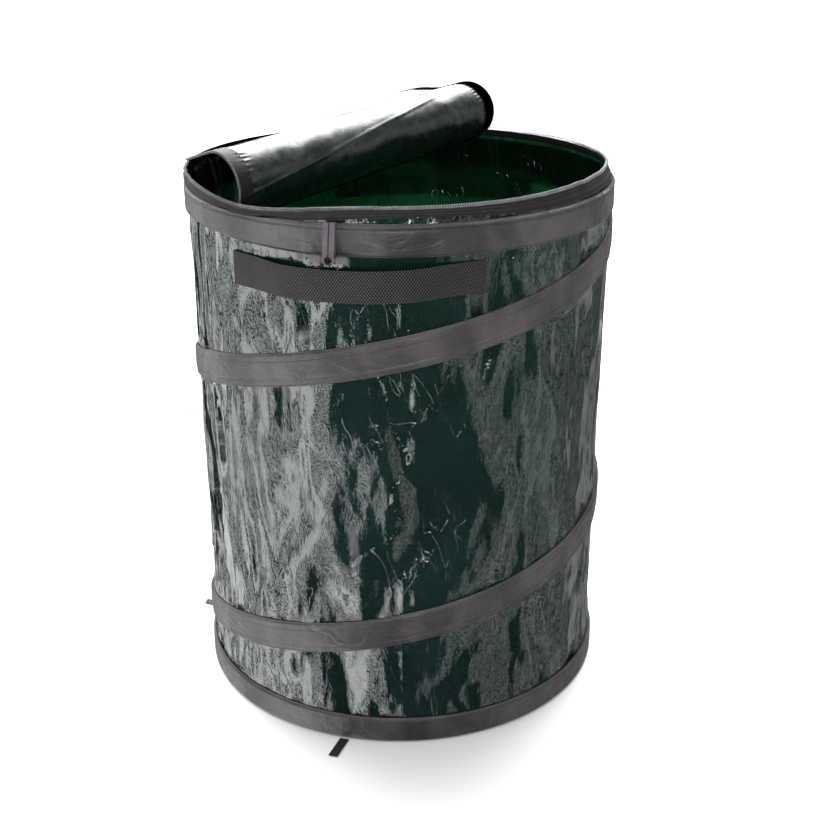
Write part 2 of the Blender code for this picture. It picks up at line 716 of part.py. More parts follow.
def build_pull(collection, joint, angle, middle, axis_height):
    """Flat pull that lies along the tape, with its eye bar inside the bridge."""
    placement = frame_at(middle, angle, axis_height)
    pivot = joint_empty("joint_pull", collection, placement, joint)
    half = PULL_WIDTH / 2
    end = -PULL_LENGTH
    eye = PULL_EYE_BAR / 2
    window_half = BRIDGE_WIDTH / 2 + 2 * SEAT_GAP
    neck = window_half + PULL_EYE_BAR
    outline = [(neck, eye), (neck, eye - PULL_WINDOW - 2 * PULL_EYE_BAR), (half, end * 0.45)]
    outline += arc(0.0, end + half, half, 0.0, -180.0, ARC_STEPS)
    outline += [(-half, end * 0.45), (-neck, eye - PULL_WINDOW - 2 * PULL_EYE_BAR), (-neck, eye)]
    window = [
        (window_half, -eye),
        (-window_half, -eye),
        (-window_half, -eye - PULL_WINDOW),
        (window_half, -eye - PULL_WINDOW),
    ]
    flat_outline(
        "zip_pull", [outline, window], PULL_THICKNESS, "slider", collection, pivot, placement,
    )


def build_handle(name, centre, collection, rim):
    """Webbing strap below the rim casing: sewn flat at both ends, off the wall between them."""
    low_row = []
    high_row = []
    for k in range(HANDLE_STEPS + 1):
        offset = -HANDLE_HALF_ANGLE + 2 * HANDLE_HALF_ANGLE * k / HANDLE_STEPS
        free = HANDLE_HALF_ANGLE - SEWN_END_ANGLE
        lift = smooth((HANDLE_HALF_ANGLE - SEWN_END_ANGLE - abs(offset)) / (free / 2))
        outside = WALL_RADIUS + SEAT_GAP + STRAP_THICKNESS + STRAP_STANDOFF * lift
        low_row.append(around(outside, centre + offset, STRAP_BOTTOM))
        high_row.append(around(outside, centre + offset, STRAP_TOP))
    sheet(
        name, [low_row, high_row], False, STRAP_THICKNESS, "webbing", collection,
        rim, Matrix.Translation((0, 0, STRAP_BOTTOM)),
    )


def ribbon_outlines():
    """Side view of the toggle's ribbon, X outwards and Y up from its hinge.

    The ribbon comes out of the rim seam, hangs in front of the casing and goes round the bar.
    Its root is round about the hinge, so that it clears the seam as it swings out.
    """
    rear = CASING_RADIUS + SEAT_GAP - TOGGLE_HINGE_RADIUS
    hole_radius = TOGGLE_BAR_DIAMETER / 2 - TOGGLE_WAIST + SEAT_GAP
    bend_radius = hole_radius + RIBBON_THICKNESS
    centre_x = rear + bend_radius
    root = arc(0.0, 0.0, RIBBON_ROOT_RADIUS, -90.0, -270.0, ROOT_STEPS)
    outer = root + [(rear + 2.5 * RIBBON_THICKNESS, RIBBON_ROOT_RADIUS)]
    outer += arc(centre_x, -TOGGLE_DROP, bend_radius, 10.0, -180.0, ARC_STEPS)
    outer += [(rear, -RIBBON_ROOT_RADIUS)]
    hole = [(rear + RIBBON_THICKNESS + SEAT_GAP, -2 * RIBBON_ROOT_RADIUS)]
    hole += arc(centre_x, -TOGGLE_DROP, hole_radius, 10.0, -180.0, ARC_STEPS)
    return outer, hole, centre_x


def build_toggle(side, angle, collection, rim):
    """Ribbon with two strands side by side, and the turned bar that they carry."""
    root_height = (RIM_CASING_TOP + TAPE_BOTTOM) / 2
    root = frame_at(TOGGLE_HINGE_RADIUS, angle, root_height)
    joint = joint_empty(f"joint_toggle_{side}", collection, root, rim)
    outer, hole, centre_x = ribbon_outlines()
    upright = root @ Matrix(((1, 0, 0, 0), (0, 0, -1, 0), (0, 1, 0, 0), (0, 0, 0, 1)))
    shift = (RIBBON_STRAND_WIDTH + RIBBON_STRAND_GAP) / 2
    for number, offset in enumerate((-shift, shift), start=1):
        flat_outline(
            f"toggle_ribbon_{side}_{number}", [outer, hole], RIBBON_STRAND_WIDTH, "webbing",
            collection, joint, upright @ Matrix.Translation((0, 0, offset)),
        )
    half = TOGGLE_BAR_LENGTH / 2
    radius = TOGGLE_BAR_DIAMETER / 2
    waist = radius - TOGGLE_WAIST
    waist_half = RIBBON_STRAND_WIDTH + RIBBON_STRAND_GAP
    quarter = arc(0.0, half - radius, radius, 90.0, 0.0, 4)
    profile = quarter + [(radius, waist_half + 2 * TOGGLE_WAIST), (waist, waist_half)]
    profile += [(x, -y) for x, y in reversed(profile)]
    mesh = bpy.data.meshes.new(f"toggle_bar_{side}")
    verts = [(x, 0.0, y) for x, y in profile]
    mesh.from_pydata(verts, [(k, k + 1) for k in range(len(verts) - 1)], [])
    bar_place = root @ Matrix.Translation((centre_x, 0, -TOGGLE_DROP)) @ Matrix.Rotation(
        math.radians(90.0), 4, "X"
    )
    bar = link(f"toggle_bar_{side}", mesh, "toggle", collection, joint, bar_place)
    turn = bar.modifiers.new("turned", "SCREW")
    turn.steps = 12
    turn.render_steps = 12
    turn.use_merge_vertices = True
    turn.merge_threshold = 0.00001


def build_base_loop(side, angle, collection):
    """Flat ribbon loop that lies on the floor and turns up to catch its toggle."""
    hinge = frame_at(CASING_RADIUS + LOOP_HINGE_OUT, angle, LOOP_THICKNESS / 2)
    joint = joint_empty(f"joint_base_loop_{side}", collection, hinge)
    half = LOOP_WIDTH / 2
    back = SEAT_GAP - LOOP_HINGE_OUT
    centre = LOOP_REACH - half
    outer = [(back, -half)] + arc(centre, 0.0, half, -90.0, 90.0, ARC_STEPS) + [(back, half)]
    inner_half = half - LOOP_STRAND
    hole = [(back + LOOP_STRAND, -inner_half)]
    hole += arc(centre, 0.0, inner_half, -90.0, 90.0, ARC_STEPS)
    hole += [(back + LOOP_STRAND, inner_half)]
    flat_outline(
        f"base_loop_{side}", [outer, hole], LOOP_THICKNESS, "webbing", collection, joint, hinge,
    )


def main():
    clear_scene()
    can = make_collection("collapsible_trash_can")
    guides = make_collection("guides")
    make_materials()
    bottoms = ring_bottoms()
    joints = {1: None}
    for number in range(2, RING_COUNT):
        low = Matrix.Translation((0, 0, bottoms[number - 1]))
        joints[number] = joint_empty(f"joint_wall_{number}", can, low)
    rim = joint_empty("joint_rim", can, Matrix.Translation((0, 0, RIM_CASING_BOTTOM)))
    joints[RING_COUNT] = rim
    build_wall(can, joints)
    build_wall_seam(can)
    build_floor_panel(can)
    build_base_casing(can)
    build_spiral_casing(can)
    build_spring_wire(can)
    build_rim_casing(can, rim)
    build_zip_tape(can, rim)
    build_zip_coil(can, rim)
    build_lid(can, rim)
    build_slider(can, guides, rim)
    build_handle("handle_front", FRONT_HANDLE_ANGLE, can, rim)
    build_handle("handle_rear", FRONT_HANDLE_ANGLE - 180.0, can, rim)
    for side, angle in FASTENER_ANGLES.items():
        build_toggle(side, angle, can, rim)
        build_base_loop(side, angle, can)


main()
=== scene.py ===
"""Looks of a pop-up trash can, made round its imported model.

Heights and radii are in metres in the model's frame: the can's axis is Z, the floor is Z = 0 and
the front is -Y. Angles round the can are in degrees from +X towards +Y, so 270 is the front.
"""
import math

import bpy
import numpy as np
from bpy.props import FloatProperty, FloatVectorProperty, IntProperty, PointerProperty
from bpy.types import Operator, Panel, PropertyGroup
from mathutils import Matrix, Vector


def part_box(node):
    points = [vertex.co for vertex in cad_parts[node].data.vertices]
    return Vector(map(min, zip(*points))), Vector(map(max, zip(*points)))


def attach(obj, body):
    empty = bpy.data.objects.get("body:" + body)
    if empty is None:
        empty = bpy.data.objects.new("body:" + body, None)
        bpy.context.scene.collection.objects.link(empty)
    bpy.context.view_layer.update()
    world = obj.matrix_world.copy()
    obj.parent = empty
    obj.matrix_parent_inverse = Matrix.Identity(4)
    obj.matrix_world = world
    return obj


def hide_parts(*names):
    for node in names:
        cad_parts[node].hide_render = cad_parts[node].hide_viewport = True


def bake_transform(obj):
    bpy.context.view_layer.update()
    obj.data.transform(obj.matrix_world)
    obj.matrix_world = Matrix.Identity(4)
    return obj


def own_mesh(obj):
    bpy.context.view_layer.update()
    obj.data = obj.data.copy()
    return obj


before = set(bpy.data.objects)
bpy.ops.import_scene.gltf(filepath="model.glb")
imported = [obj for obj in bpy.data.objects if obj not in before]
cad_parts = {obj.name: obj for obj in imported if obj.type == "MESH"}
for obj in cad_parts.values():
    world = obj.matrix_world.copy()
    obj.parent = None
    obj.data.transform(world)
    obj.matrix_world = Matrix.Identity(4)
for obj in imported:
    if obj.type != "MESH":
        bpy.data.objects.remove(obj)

bl_info = {
    "name": "Pop-up trash can",
    "version": (1, 0, 0),
    "blender": (4, 5, 0),
    "location": "3D Viewport > Sidebar > Trash Can",
    "description": "Builds the tarp, casings, zipper, rolled lid and webbing of a pop-up trash can",
    "category": "Add Mesh",
}

TAU = 2 * math.pi
FRONT = 270.0

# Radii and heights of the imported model
CASING_RADIUS = 0.2413
WIRE_PATH_RADIUS = 0.2387
WIRE_RADIUS = 0.0015
WALL_RADIUS = 0.2369
SEWN_RADIUS = 0.2380
TAPE_TOP_RADIUS = 0.2348
COIL_RADIUS = 0.2344
LID_RADIUS = 0.2297
TARP_THICKNESS = 0.0006
CASING_THICKNESS = 0.0008
TAPE_THICKNESS = 0.0008
FLOOR_THICKNESS = 0.0005
WALL_TOP = 0.600
BASE_CASING_TOP = 0.031
RIM_CASING_BOTTOM = 0.562
RIM_CASING_TOP = 0.5955
TAPE_BOTTOM = 0.5965
TAPE_TOP = 0.6085
COIL_HEIGHT = 0.6100
LID_HEIGHT = 0.6091
WALL_SEAM_ANGLE = 96.0

# The spring's climb: metres to a degree, and the angles where it would meet the two rings
BASE_WIRE_HEIGHT = 0.010
RIM_WIRE_HEIGHT = 0.5835
FRONT_WIRE_HEIGHT = 0.463
RISE = 0.317 / 360.0
BASE_CORNER = FRONT - (FRONT_WIRE_HEIGHT - BASE_WIRE_HEIGHT) / RISE
RIM_CORNER = FRONT + (RIM_WIRE_HEIGHT - FRONT_WIRE_HEIGHT) / RISE
EASE = 25.0
CASING_HALF_WIDTH = 0.0185

# A height inside the rim casing above which the wall goes down with the rim
RIM_CUT = 0.566

# The lid's folds: distance from the can's axis, slant, bend at rest, half width of the bend, lift
HINGE_ANGLE = 147.5
HINGE_HALF_ANGLE = 29.5
HINGE_CHORD = COIL_RADIUS * math.cos(math.radians(HINGE_HALF_ANGLE))
CURL_SLANT = 6.0
CURL_LENGTH = 0.0215
CURL_HALF = CURL_LENGTH * math.cos(math.radians(CURL_SLANT)) / 2
LID_FOLDS = [(-HINGE_CHORD, 0.0, 20.0, 0.012, 0.0014), (-HINGE_CHORD + 0.069, 12.0, -3.0, 0.015, 0.0)]
LID_FOLDS += [(-HINGE_CHORD + 0.155 + CURL_LENGTH * k, CURL_SLANT, -35.0, CURL_HALF, 0.0) for k in range(5)]
LID_TAPE_WIDTH = 0.018
LID_TAPE_LIFT = 0.0010

# The zipper: width of the mouth's tape, radii of the coils' turns and of their nylon
MOUTH_TAPE_WIDTH = 0.0125
MOUTH_TEETH, MOUTH_NYLON = 0.0016, 0.00045
LID_TEETH, LID_NYLON = 0.0011, 0.00038

# Handles: angles of their middles, reach to each side and of the sewn ends, top edge and width
STRAP_ANGLES = (257.0, 77.0)
STRAP_HALF_ANGLE = 33.2
STRAP_SEWN_ANGLE = 6.0
STRAP_TOP = 0.5505
STRAP_WIDTH = 0.033
STRAP_THICKNESS = 0.0018
STRAP_BOW = 0.0095

# Toggles and foot loops: side, angle round the can
FASTENERS = (("front", 254.0), ("left", 164.0), ("rear", 74.0))
LOOP_ROOT_RADIUS = 0.2428
LOOP_REACH = 0.0335
LOOP_GIRTH = 0.0216
LOOP_HALF_WIDTH = 0.0052
LOOP_THICKNESS = 0.0004
KNOT_CORD_RADIUS = 0.0009


# Numbers on whole arrays


def smooth(value):
    """Zero below 0, one above 1, and 3 t squared less 2 t cubed between."""
    t = np.clip(value, 0.0, 1.0)
    return t * t * (3.0 - 2.0 * t)


def around(radius, angle, height):
    """Points at a radius, an angle in degrees and a height."""
    radius, angle, height = np.broadcast_arrays(radius, np.radians(angle), height)
    return np.stack([radius * np.cos(angle), radius * np.sin(angle), height], axis=-1)


def off_by(angle, centre):
    """How far an angle in degrees lies from a centre round the can, to either side."""
    return np.abs((np.asarray(angle, float) - centre + 180.0) % 360.0 - 180.0)


def near(angle, centre, reach):
    """One at an angle and zero beyond its reach on both sides, with a smooth hump between."""
    return smooth(1.0 - off_by(angle, centre) / reach)


def wire_height(angle):
    """Height of the spring wire at a turn angle in degrees that counts past 360.

    Level in the two end rings, a straight climb between them, and a parabola of twice the ease
    angle where each ring meets the climb.
    """
    angle = np.asarray(angle, float)
    foot = np.clip(angle - BASE_CORNER + EASE, 0.0, 2 * EASE)
    head = np.clip(RIM_CORNER + EASE - angle, 0.0, 2 * EASE)
    climb = BASE_WIRE_HEIGHT + RISE * (angle - BASE_CORNER)
    low = BASE_WIRE_HEIGHT + RISE * foot * foot / (4 * EASE)
    high = RIM_WIRE_HEIGHT - RISE * head * head / (4 * EASE)
    return np.where(angle < BASE_CORNER + EASE, low, np.where(angle > RIM_CORNER - EASE, high, climb))


def crumple(around_share, up, cells_round, cell_height, seed):
    """Creased facets. The height at a point is the least of a set of shallow bowls, one in each
    cell of a grid, each stood at a random place in it, tilted at random and sunk by a random
    depth, so that nearly flat facets meet in sharp creases. It closes on itself after
    cells_round cells.
    """
    rows = 64
    jitter = np.random.default_rng(seed).random((cells_round, rows, 5))
    x = around_share % 1.0 * cells_round
    y = up / cell_height + 8.0
    column, row = np.floor(x).astype(int), np.floor(y).astype(int)
    best = np.full(np.shape(x), 9.0)
    for i in (-1, 0, 1):
        for j in (-1, 0, 1):
            pick = jitter[(column + i) % cells_round, (row + j) % rows]
            across = x - (column + i + pick[..., 0])
            along = y - (row + j + pick[..., 1])
            bowl = 0.42 * (across**2 + along**2) + 0.30 * pick[..., 2]
            tilt = 1.1 * (pick[..., 3] - 0.5) * across + 0.6 * (pick[..., 4] - 0.5) * along
            best = np.minimum(best, bowl + tilt)
    return best


def ripple(value, seed, waves=9, lowest=1.0, highest=9.0):
    """A smooth random wave between about -1 and 1: sines of random pitch, size and phase."""
    rng = np.random.default_rng(seed)
    pitch = rng.uniform(lowest, highest, waves)
    size = rng.uniform(0.4, 1.0, waves)
    phase = rng.uniform(0, TAU, waves)
    total = sum(s * np.sin(TAU * p * value + f) for p, s, f in zip(pitch, size, phase))
    return total / math.sqrt(waves)


def on_can(radius, angle, height):
    """Points round the can, warped as the soft rim is.

    The zipper dips at the left front and rises at the right, the rim band's lower edge is drawn
    up at the left, and the body leans a little to the right below the zipper.
    """
    height = np.asarray(height, float)
    zipper = smooth((height - 0.593) / 0.012)
    shift = (0.0030 * near(angle, 338.0, 45.0) - 0.0095 * near(angle, 229.0, 34.0)) * zipper
    low_edge = smooth(1.0 - np.abs(height - RIM_CASING_BOTTOM) / 0.03)
    shift = shift + 0.0050 * near(angle, 208.0, 44.0) * low_edge
    points = around(radius, angle, height + shift)
    points[..., 0] += 0.0036 * smooth(height / 0.56) * (1.0 - zipper)
    return points


def outward(angle):
    """Unit vectors away from the can's axis at an angle, and along the can's side there."""
    a = math.radians(angle)
    return np.array([math.cos(a), math.sin(a), 0.0]), np.array([-math.sin(a), math.cos(a), 0.0])


def unit(vectors):
    return vectors / np.maximum(np.linalg.norm(vectors, axis=-1, keepdims=True), 1e-12)


# Meshes


def make_mesh(name, points, quads, triangles=None, uv=None, inner_from=None, normals=None):
    """A mesh from points and faces of four corners, and of three if given.

    uv holds a pair for each corner of the quads. Faces from inner_from on take the second
    material, and normals are set where they are given.
    """
    corners = quads.ravel()
    starts = np.arange(len(quads)) * 4
    if triangles is not None:
        starts = np.concatenate([starts, len(corners) + np.arange(len(triangles)) * 3])
        corners = np.concatenate([corners, triangles.ravel()])
    mesh = bpy.data.meshes.new(name)
    mesh.vertices.add(len(points))
    mesh.vertices.foreach_set("co", points.ravel())
    mesh.loops.add(len(corners))
    mesh.loops.foreach_set("vertex_index", corners.astype(np.int32))
    mesh.polygons.add(len(starts))
    mesh.polygons.foreach_set("loop_start", starts.astype(np.int32))
    mesh.polygons.foreach_set("use_smooth", np.ones(len(starts), bool))
    if inner_from is not None:
        mesh.polygons.foreach_set("material_index", (np.arange(len(starts)) >= inner_from).astype(np.int32))
    mesh.update(calc_edges=True)
    if uv is not None:
        mesh.uv_layers.new(name="cloth").data.foreach_set("uv", uv.ravel())
    if normals is not None:
        mesh.normals_split_custom_set_from_vertices(normals)
    return mesh


def show(mesh, *finishes):
    """Puts a finished mesh in the scene at the origin, with its materials."""
    obj = bpy.data.objects.new(mesh.name, mesh)
    for name in finishes:
        mesh.materials.append(finish(name))
    bpy.context.scene.collection.objects.link(obj)
    return obj


def dress(piece, slot, rides=None, replaces=(), folds=False, **sheet):
    """Parents a finished piece to the body it rides, hides the solids it stands for, and gives it a
    mesh of its own when it goes down between the casings as the can folds. The slot it fills and
    how its sheet lies are not used.
    """
    if rides:
        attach(piece, rides)
    if replaces:
        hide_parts(*replaces)
    if folds:
        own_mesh(piece)
    return piece


def repaint(node_name, finish_name):
    """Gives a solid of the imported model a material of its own."""
    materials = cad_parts[node_name].data.materials
    materials.clear()
    materials.append(finish(finish_name))


def grid_cells(rows, columns, wrap):
    """Row and column numbers of the four corners of each cell. Columns wrap round if asked."""
    r, c = np.meshgrid(np.arange(rows - 1), np.arange(columns if wrap else columns - 1), indexing="ij")
    r, c = r.ravel(), c.ravel()
    return np.stack([r, r, r + 1, r + 1], 1), np.stack([c, c + 1, c + 1, c], 1)


def ring_grid(radius, columns, rows, width):
    """Distances round a ring by shares of a width, and the cloth's own places for them."""
    length = TAU * radius
    run, share = np.meshgrid(np.linspace(0, length, columns, endpoint=False), np.linspace(0, 1, rows + 1))
    uv = np.meshgrid(np.linspace(0, length, columns + 1), np.linspace(0, width, rows + 1))
    return run, share, np.stack(uv, -1)


def closed_sheet(name, front, out, thickness, uv, rim_uv, wrap=False, flip=False):
    """A thin closed sheet from a grid of points and the directions that its front faces.

    The back lies a thickness behind the front, and strips close the edges, all at one place of the
    cloth. flip is for a grid whose rows and columns turn the other way round.
    """
    rows, columns = front.shape[:2]
    count = rows * columns
    turn = -1 if flip else 1
    r, c = grid_cells(rows, columns, wrap)
    outer = (r * columns + c % columns)[:, ::turn]
    index = np.arange(count).reshape(rows, columns)
    if wrap:
        index = np.concatenate([index, index[:, :1]], axis=1)
    edges = [(index[0, 1:], index[0, :-1]), (index[-1, :-1], index[-1, 1:])]
    if not wrap:
        edges += [(index[:-1, 0], index[1:, 0]), (index[1:, -1], index[:-1, -1])]
    rims = [np.stack([a, b, b + count, a + count], 1) for a, b in (edge[::turn] for edge in edges)]
    pairs = uv[r, c][:, ::turn]
    filler = np.tile(rim_uv, (sum(len(rim) for rim in rims), 4, 1))
    return make_mesh(
        name, np.concatenate([front.reshape(-1, 3), (front - thickness * out).reshape(-1, 3)]),
        np.concatenate([outer, outer[:, ::-1] + count] + rims),
        uv=np.concatenate([pairs, pairs[:, ::-1], filler]), inner_from=len(outer),
        normals=np.concatenate([out.reshape(-1, 3), -out.reshape(-1, 3)]),
    )


def shell(name, surface, u, v, thickness, uv, wrap=False, reach=0.0008):
    """A thin closed sheet over a surface of two parameters. Columns follow u and rows follow v.

    Normals come from differences of the surface over a small reach, so that pieces that share a
    surface shade alike where they meet.
    """
    along = surface(u + reach, v) - surface(u - reach, v)
    across = surface(u, v + reach) - surface(u, v - reach)
    return closed_sheet(name, surface(u, v), unit(np.cross(along, across)), thickness, uv, uv[0, 0], wrap)


def tube(name, path, radius, sides, up, move=None):
    """A round cord along a path, with a fan over each end. Its rings are cosine times the side
    direction plus sine times the up one. move carries the finished points elsewhere.
    """
    tangent = unit(np.gradient(path, axis=0))
    side = unit(np.cross(tangent, np.broadcast_to(up, path.shape)))
    turn = np.linspace(0, TAU, sides, endpoint=False)[None, :, None]
    rings = np.cos(turn) * side[:, None] + np.sin(turn) * np.cross(side, tangent)[:, None]
    points = np.concatenate([(path[:, None] + radius * rings).reshape(-1, 3), path[:1], path[-1:]])
    r, c = grid_cells(len(path), sides, True)
    count = len(path) * sides
    ring = np.arange(sides)
    after = (ring + 1) % sides
    start = np.stack([np.full(sides, count), ring, after], 1)
    end = np.stack([np.full(sides, count + 1), count - sides + after, count - sides + ring], 1)
    quads = (r * sides + c % sides)[:, ::-1]
    return make_mesh(name, move(points) if move else points, quads, np.concatenate([start, end]))


def coil(centre, outwards, up, radius):
    """Path of a zipper coil: circles round the centre line, one turn in each turn length.

    The point is the centre plus the radius times cosine outwards plus sine up.
    """
    pitch = sizes().coil_pitch
    run = np.concatenate([[0.0], np.cumsum(np.linalg.norm(np.diff(centre, axis=0), axis=1))])
    at = np.linspace(0.0, run[-1], int(run[-1] / pitch * 8))

    def along(values):
        return np.stack([np.interp(at, run, values[:, k]) for k in range(3)], axis=1)

    phase = (TAU * at / pitch)[:, None]
    return along(centre) + radius * (np.cos(phase) * unit(along(outwards)) + np.sin(phase) * unit(along(up)))


# Node trees


def paler(colour, share):
    return tuple(share * x for x in colour)


def node(tree, kind, inputs=None, **settings):
    """Adds a node. inputs maps socket names or numbers to a value or to another node's output."""
    made = tree.nodes.new(kind)
    for key, value in settings.items():
        setattr(made, key, value)
    for key, value in (inputs or {}).items():
        if isinstance(value, bpy.types.NodeSocket):
            tree.links.new(value, made.inputs[key])
        else:
            made.inputs[key].default_value = value
    return made


def calc(tree, operation, *values):
    return node(tree, "ShaderNodeMath", dict(enumerate(values)), operation=operation).outputs[0]


def remap(tree, value, low, high, out_low, out_high):
    return node(
        tree, "ShaderNodeMapRange",
        {"Value": value, "From Min": low, "From Max": high, "To Min": out_low, "To Max": out_high},
        interpolation_type="SMOOTHSTEP",
    ).outputs["Result"]


def blend_colours(tree, share, first, second):
    pair = [x if isinstance(x, bpy.types.NodeSocket) else (*x[:3], 1.0) for x in (first, second)]
    return node(tree, "ShaderNodeMix", {0: share, 6: pair[0], 7: pair[1]}, data_type="RGBA").outputs[2]


def bump(tree, height, distance, below=None):
    inputs = {"Height": height, "Distance": distance, "Strength": 1.0}
    if below is not None:
        inputs["Normal"] = below
    return node(tree, "ShaderNodeBump", inputs).outputs["Normal"]


def noise(tree, place, scale, detail=3.0, roughness=0.5, distortion=0.0, output="Fac"):
    return node(
        tree, "ShaderNodeTexNoise",
        {"Vector": place, "Scale": scale, "Detail": detail, "Roughness": roughness, "Distortion": distortion},
    ).outputs[output]


def stretched(tree, place, scale, rotation=(0.0, 0.0, 0.0)):
    inputs = {"Vector": place, "Scale": scale, "Rotation": rotation}
    return node(tree, "ShaderNodeMapping", inputs).outputs["Vector"]


def vectors(tree, operation, first, second, output=0):
    return node(tree, "ShaderNodeVectorMath", {0: first, 1: second}, operation=operation).outputs[output]


def wave(tree, value, pitch):
    """Sine of a length, with one full wave in each pitch."""
    return calc(tree, "SINE", calc(tree, "MULTIPLY", value, TAU / pitch))


def close_to(tree, value, centre, inner, outer):
    """One within an inner distance of a centre and zero beyond an outer one."""
    return remap(tree, calc(tree, "ABSOLUTE", calc(tree, "SUBTRACT", value, centre)), inner, outer, 1.0, 0.0)


def facets(tree, place, squeeze, scale, slope, below):
    """Bump of creased facets: the distance to the nearest of scattered points, at a slope."""
    at = stretched(tree, place, (1.0, 1.0, squeeze))
    cells = node(tree, "ShaderNodeTexVoronoi", {"Vector": at, "Scale": scale})
    return bump(tree, cells.outputs["Distance"], slope / scale, below)


def wrinkles(tree, place, squeeze, scale, width, depth, below):
    """Bump of long thin wrinkles: where a noise passes its middle value, in scattered patches."""
    at = stretched(tree, place, (1.0, 1.0, squeeze), (0.25, 0.25, 0.0))
    line = close_to(tree, noise(tree, at, scale, 2.0, 0.5, 0.6), 0.5, 0.0, width)
    patch = remap(tree, noise(tree, place, 17.0, 2.0), 0.50, 0.62, 0.0, 1.0)
    return bump(tree, calc(tree, "MULTIPLY", line, patch), depth, below)


def new_finish(name):
    """An empty material, with its object places and the two places on its cloth."""
    material = bpy.data.materials.new(name)
    material.use_nodes = True
    tree = material.node_tree
    tree.nodes.clear()
    place = node(tree, "ShaderNodeTexCoord").outputs["Object"]
    cloth = node(tree, "ShaderNodeSeparateXYZ", {0: node(tree, "ShaderNodeUVMap", uv_map="cloth").outputs[0]})
    return material, tree, place, cloth.outputs[0], cloth.outputs[1]


def skin(tree, base, roughness, relief, **settings):
    """A glossy surface. Settings name further sockets, with _ for each space."""
    inputs = {"Base Color": base, "Roughness": roughness, "Normal": relief}
    inputs.update({key.replace("_", " "): value for key, value in settings.items()})
    return node(tree, "ShaderNodeBsdfPrincipled", inputs).outputs[0]


def close_finish(tree, shader, kind="ShaderNodeOutputMaterial"):
    node(tree, kind, {"Surface": shader})


def tarp_finish(name, colour, light, shade_colour, glow, share, gloss, crease=1.0, sparkle=0.0):
    """Laminated woven tarp: slow swells, creased facets at three scales, long wrinkles and the
    weave's pillows. Some of the light comes through it from the other side. It has painted glints
    on the weave's crowns, painted shade in its hollows, and painted shade where a casing or a
    handle covers it.
    """
    material, tree, place, u, v = new_finish(name)
    drift = noise(tree, place, 30.0, 2.0, output="Color")
    warped = vectors(tree, "ADD", place, vectors(tree, "MULTIPLY", drift, (0.014, 0.014, 0.014)))
    leaning = stretched(tree, place, (1.0, 1.0, 0.55), (0.0, 0.55, 0.0))
    upright = stretched(tree, place, (1.0, 1.0, 0.12))
    relief = None
    for at, scale, tangle, depth in (
        (leaning, 9.0, 0.8, 0.045), (leaning, 24.0, 0.6, 0.0060), (upright, 42.0, 0.0, 0.0007),
    ):
        relief = bump(tree, noise(tree, at, scale, 1.0, 0.5, tangle), depth * crease, relief)
    for at, squeeze, scale, slope in (
        (warped, 0.60, 42.0, 0.034), (warped, 0.75, 130.0, 0.030), (place, 0.90, 420.0, 0.075),
    ):
        relief = facets(tree, at, squeeze, scale, slope * crease, relief)
    for at, squeeze, scale, width, depth in (
        (place, 0.35, 26.0, 0.012, 0.00036 * crease), (leaning, 0.5, 60.0, 0.020, 0.00018 * crease),
        (place, 0.30, 58.0, 0.050, sparkle),
    ):
        if depth:
            relief = wrinkles(tree, at, squeeze, scale, width, depth, relief)
    weave = calc(tree, "MULTIPLY", wave(tree, u, 0.0034), wave(tree, v, 0.0026))
    relief = bump(tree, weave, 0.00003, relief)
    patches = remap(tree, noise(tree, place, 14.0, 4.0, 0.6), 0.35, 0.7, 0.0, 1.0)
    base = blend_colours(tree, patches, colour, light)
    grain = noise(tree, stretched(tree, place, (1.0, 1.0, 0.5)), 330.0, 2.0, 0.6)
    # Painted glints: light dashes on the weave's crowns, broken up by a grain
    painted_glints = calc(
        tree, "MULTIPLY", remap(tree, weave, 0.3, 0.9, 0.0, 0.6), remap(tree, grain, 0.45, 0.65, 0.0, 1.0)
    )
    base = blend_colours(tree, painted_glints, base, paler(light, 2.6))
    # Painted shade in the weave's hollows
    base = blend_colours(tree, remap(tree, weave, -0.8, 0.2, 0.45, 0.0), base, shade_colour)
    # Painted shade behind the casings and handles, from the wall's attribute
    covered = node(tree, "ShaderNodeAttribute", attribute_name="covered").outputs["Fac"]
    base = blend_colours(tree, covered, base, shade_colour)
    dull = remap(tree, noise(tree, place, 70.0, 3.0, 0.6), 0.3, 0.75, gloss * 0.7, gloss * 1.5)
    film = skin(tree, base, dull, relief, IOR=1.8)
    through = node(tree, "ShaderNodeBsdfTranslucent", {"Color": (*glow[:3], 1.0), "Normal": relief})
    mixed = node(tree, "ShaderNodeMixShader", {0: share, 1: film, 2: through.outputs[0]})
    close_finish(tree, mixed.outputs[0])
    return material


def casing_finish(name, colour, light):
    """Satin casing cloth: soft diagonal creases, a fine weave, patches of tone and two lines of
    stitches.
    """
    material, tree, place, u, v = new_finish(name)
    creases = noise(tree, stretched(tree, place, (1.0, 1.0, 2.4), (0.0, 0.5, 0.0)), 34.0, 3.0, 0.55, 0.8)
    folds = noise(tree, stretched(tree, place, (1.0, 1.0, 0.5), (0.4, 0.0, 0.3)), 95.0, 2.0, 0.5, 0.4)
    weave = calc(tree, "MULTIPLY", wave(tree, u, 0.0011), wave(tree, v, 0.0011))
    lines = calc(tree, "MAXIMUM", *(close_to(tree, v, at, 0.0003, 0.0007) for at in (0.0022, 0.0282)))
    stitch = calc(tree, "MULTIPLY", remap(tree, wave(tree, u, 0.0032), -0.5, 0.1, 0.0, 1.0), lines)
    relief = None
    for height, depth in ((creases, 0.0022), (folds, 0.0006), (weave, 0.00003), (stitch, 0.0003)):
        relief = bump(tree, height, depth, relief)
    mottle = noise(tree, stretched(tree, place, (1.0, 1.0, 0.6)), 20.0, 4.0, 0.6, 0.5)
    base = blend_colours(tree, remap(tree, mottle, 0.32, 0.70, 0.0, 1.0), colour, light)
    base = blend_colours(tree, stitch, base, paler(colour, 0.4))
    gloss = remap(tree, folds, 0.3, 0.7, 0.28, 0.38)
    close_finish(tree, skin(tree, base, gloss, relief, Specular_IOR_Level=0.5))
    return material


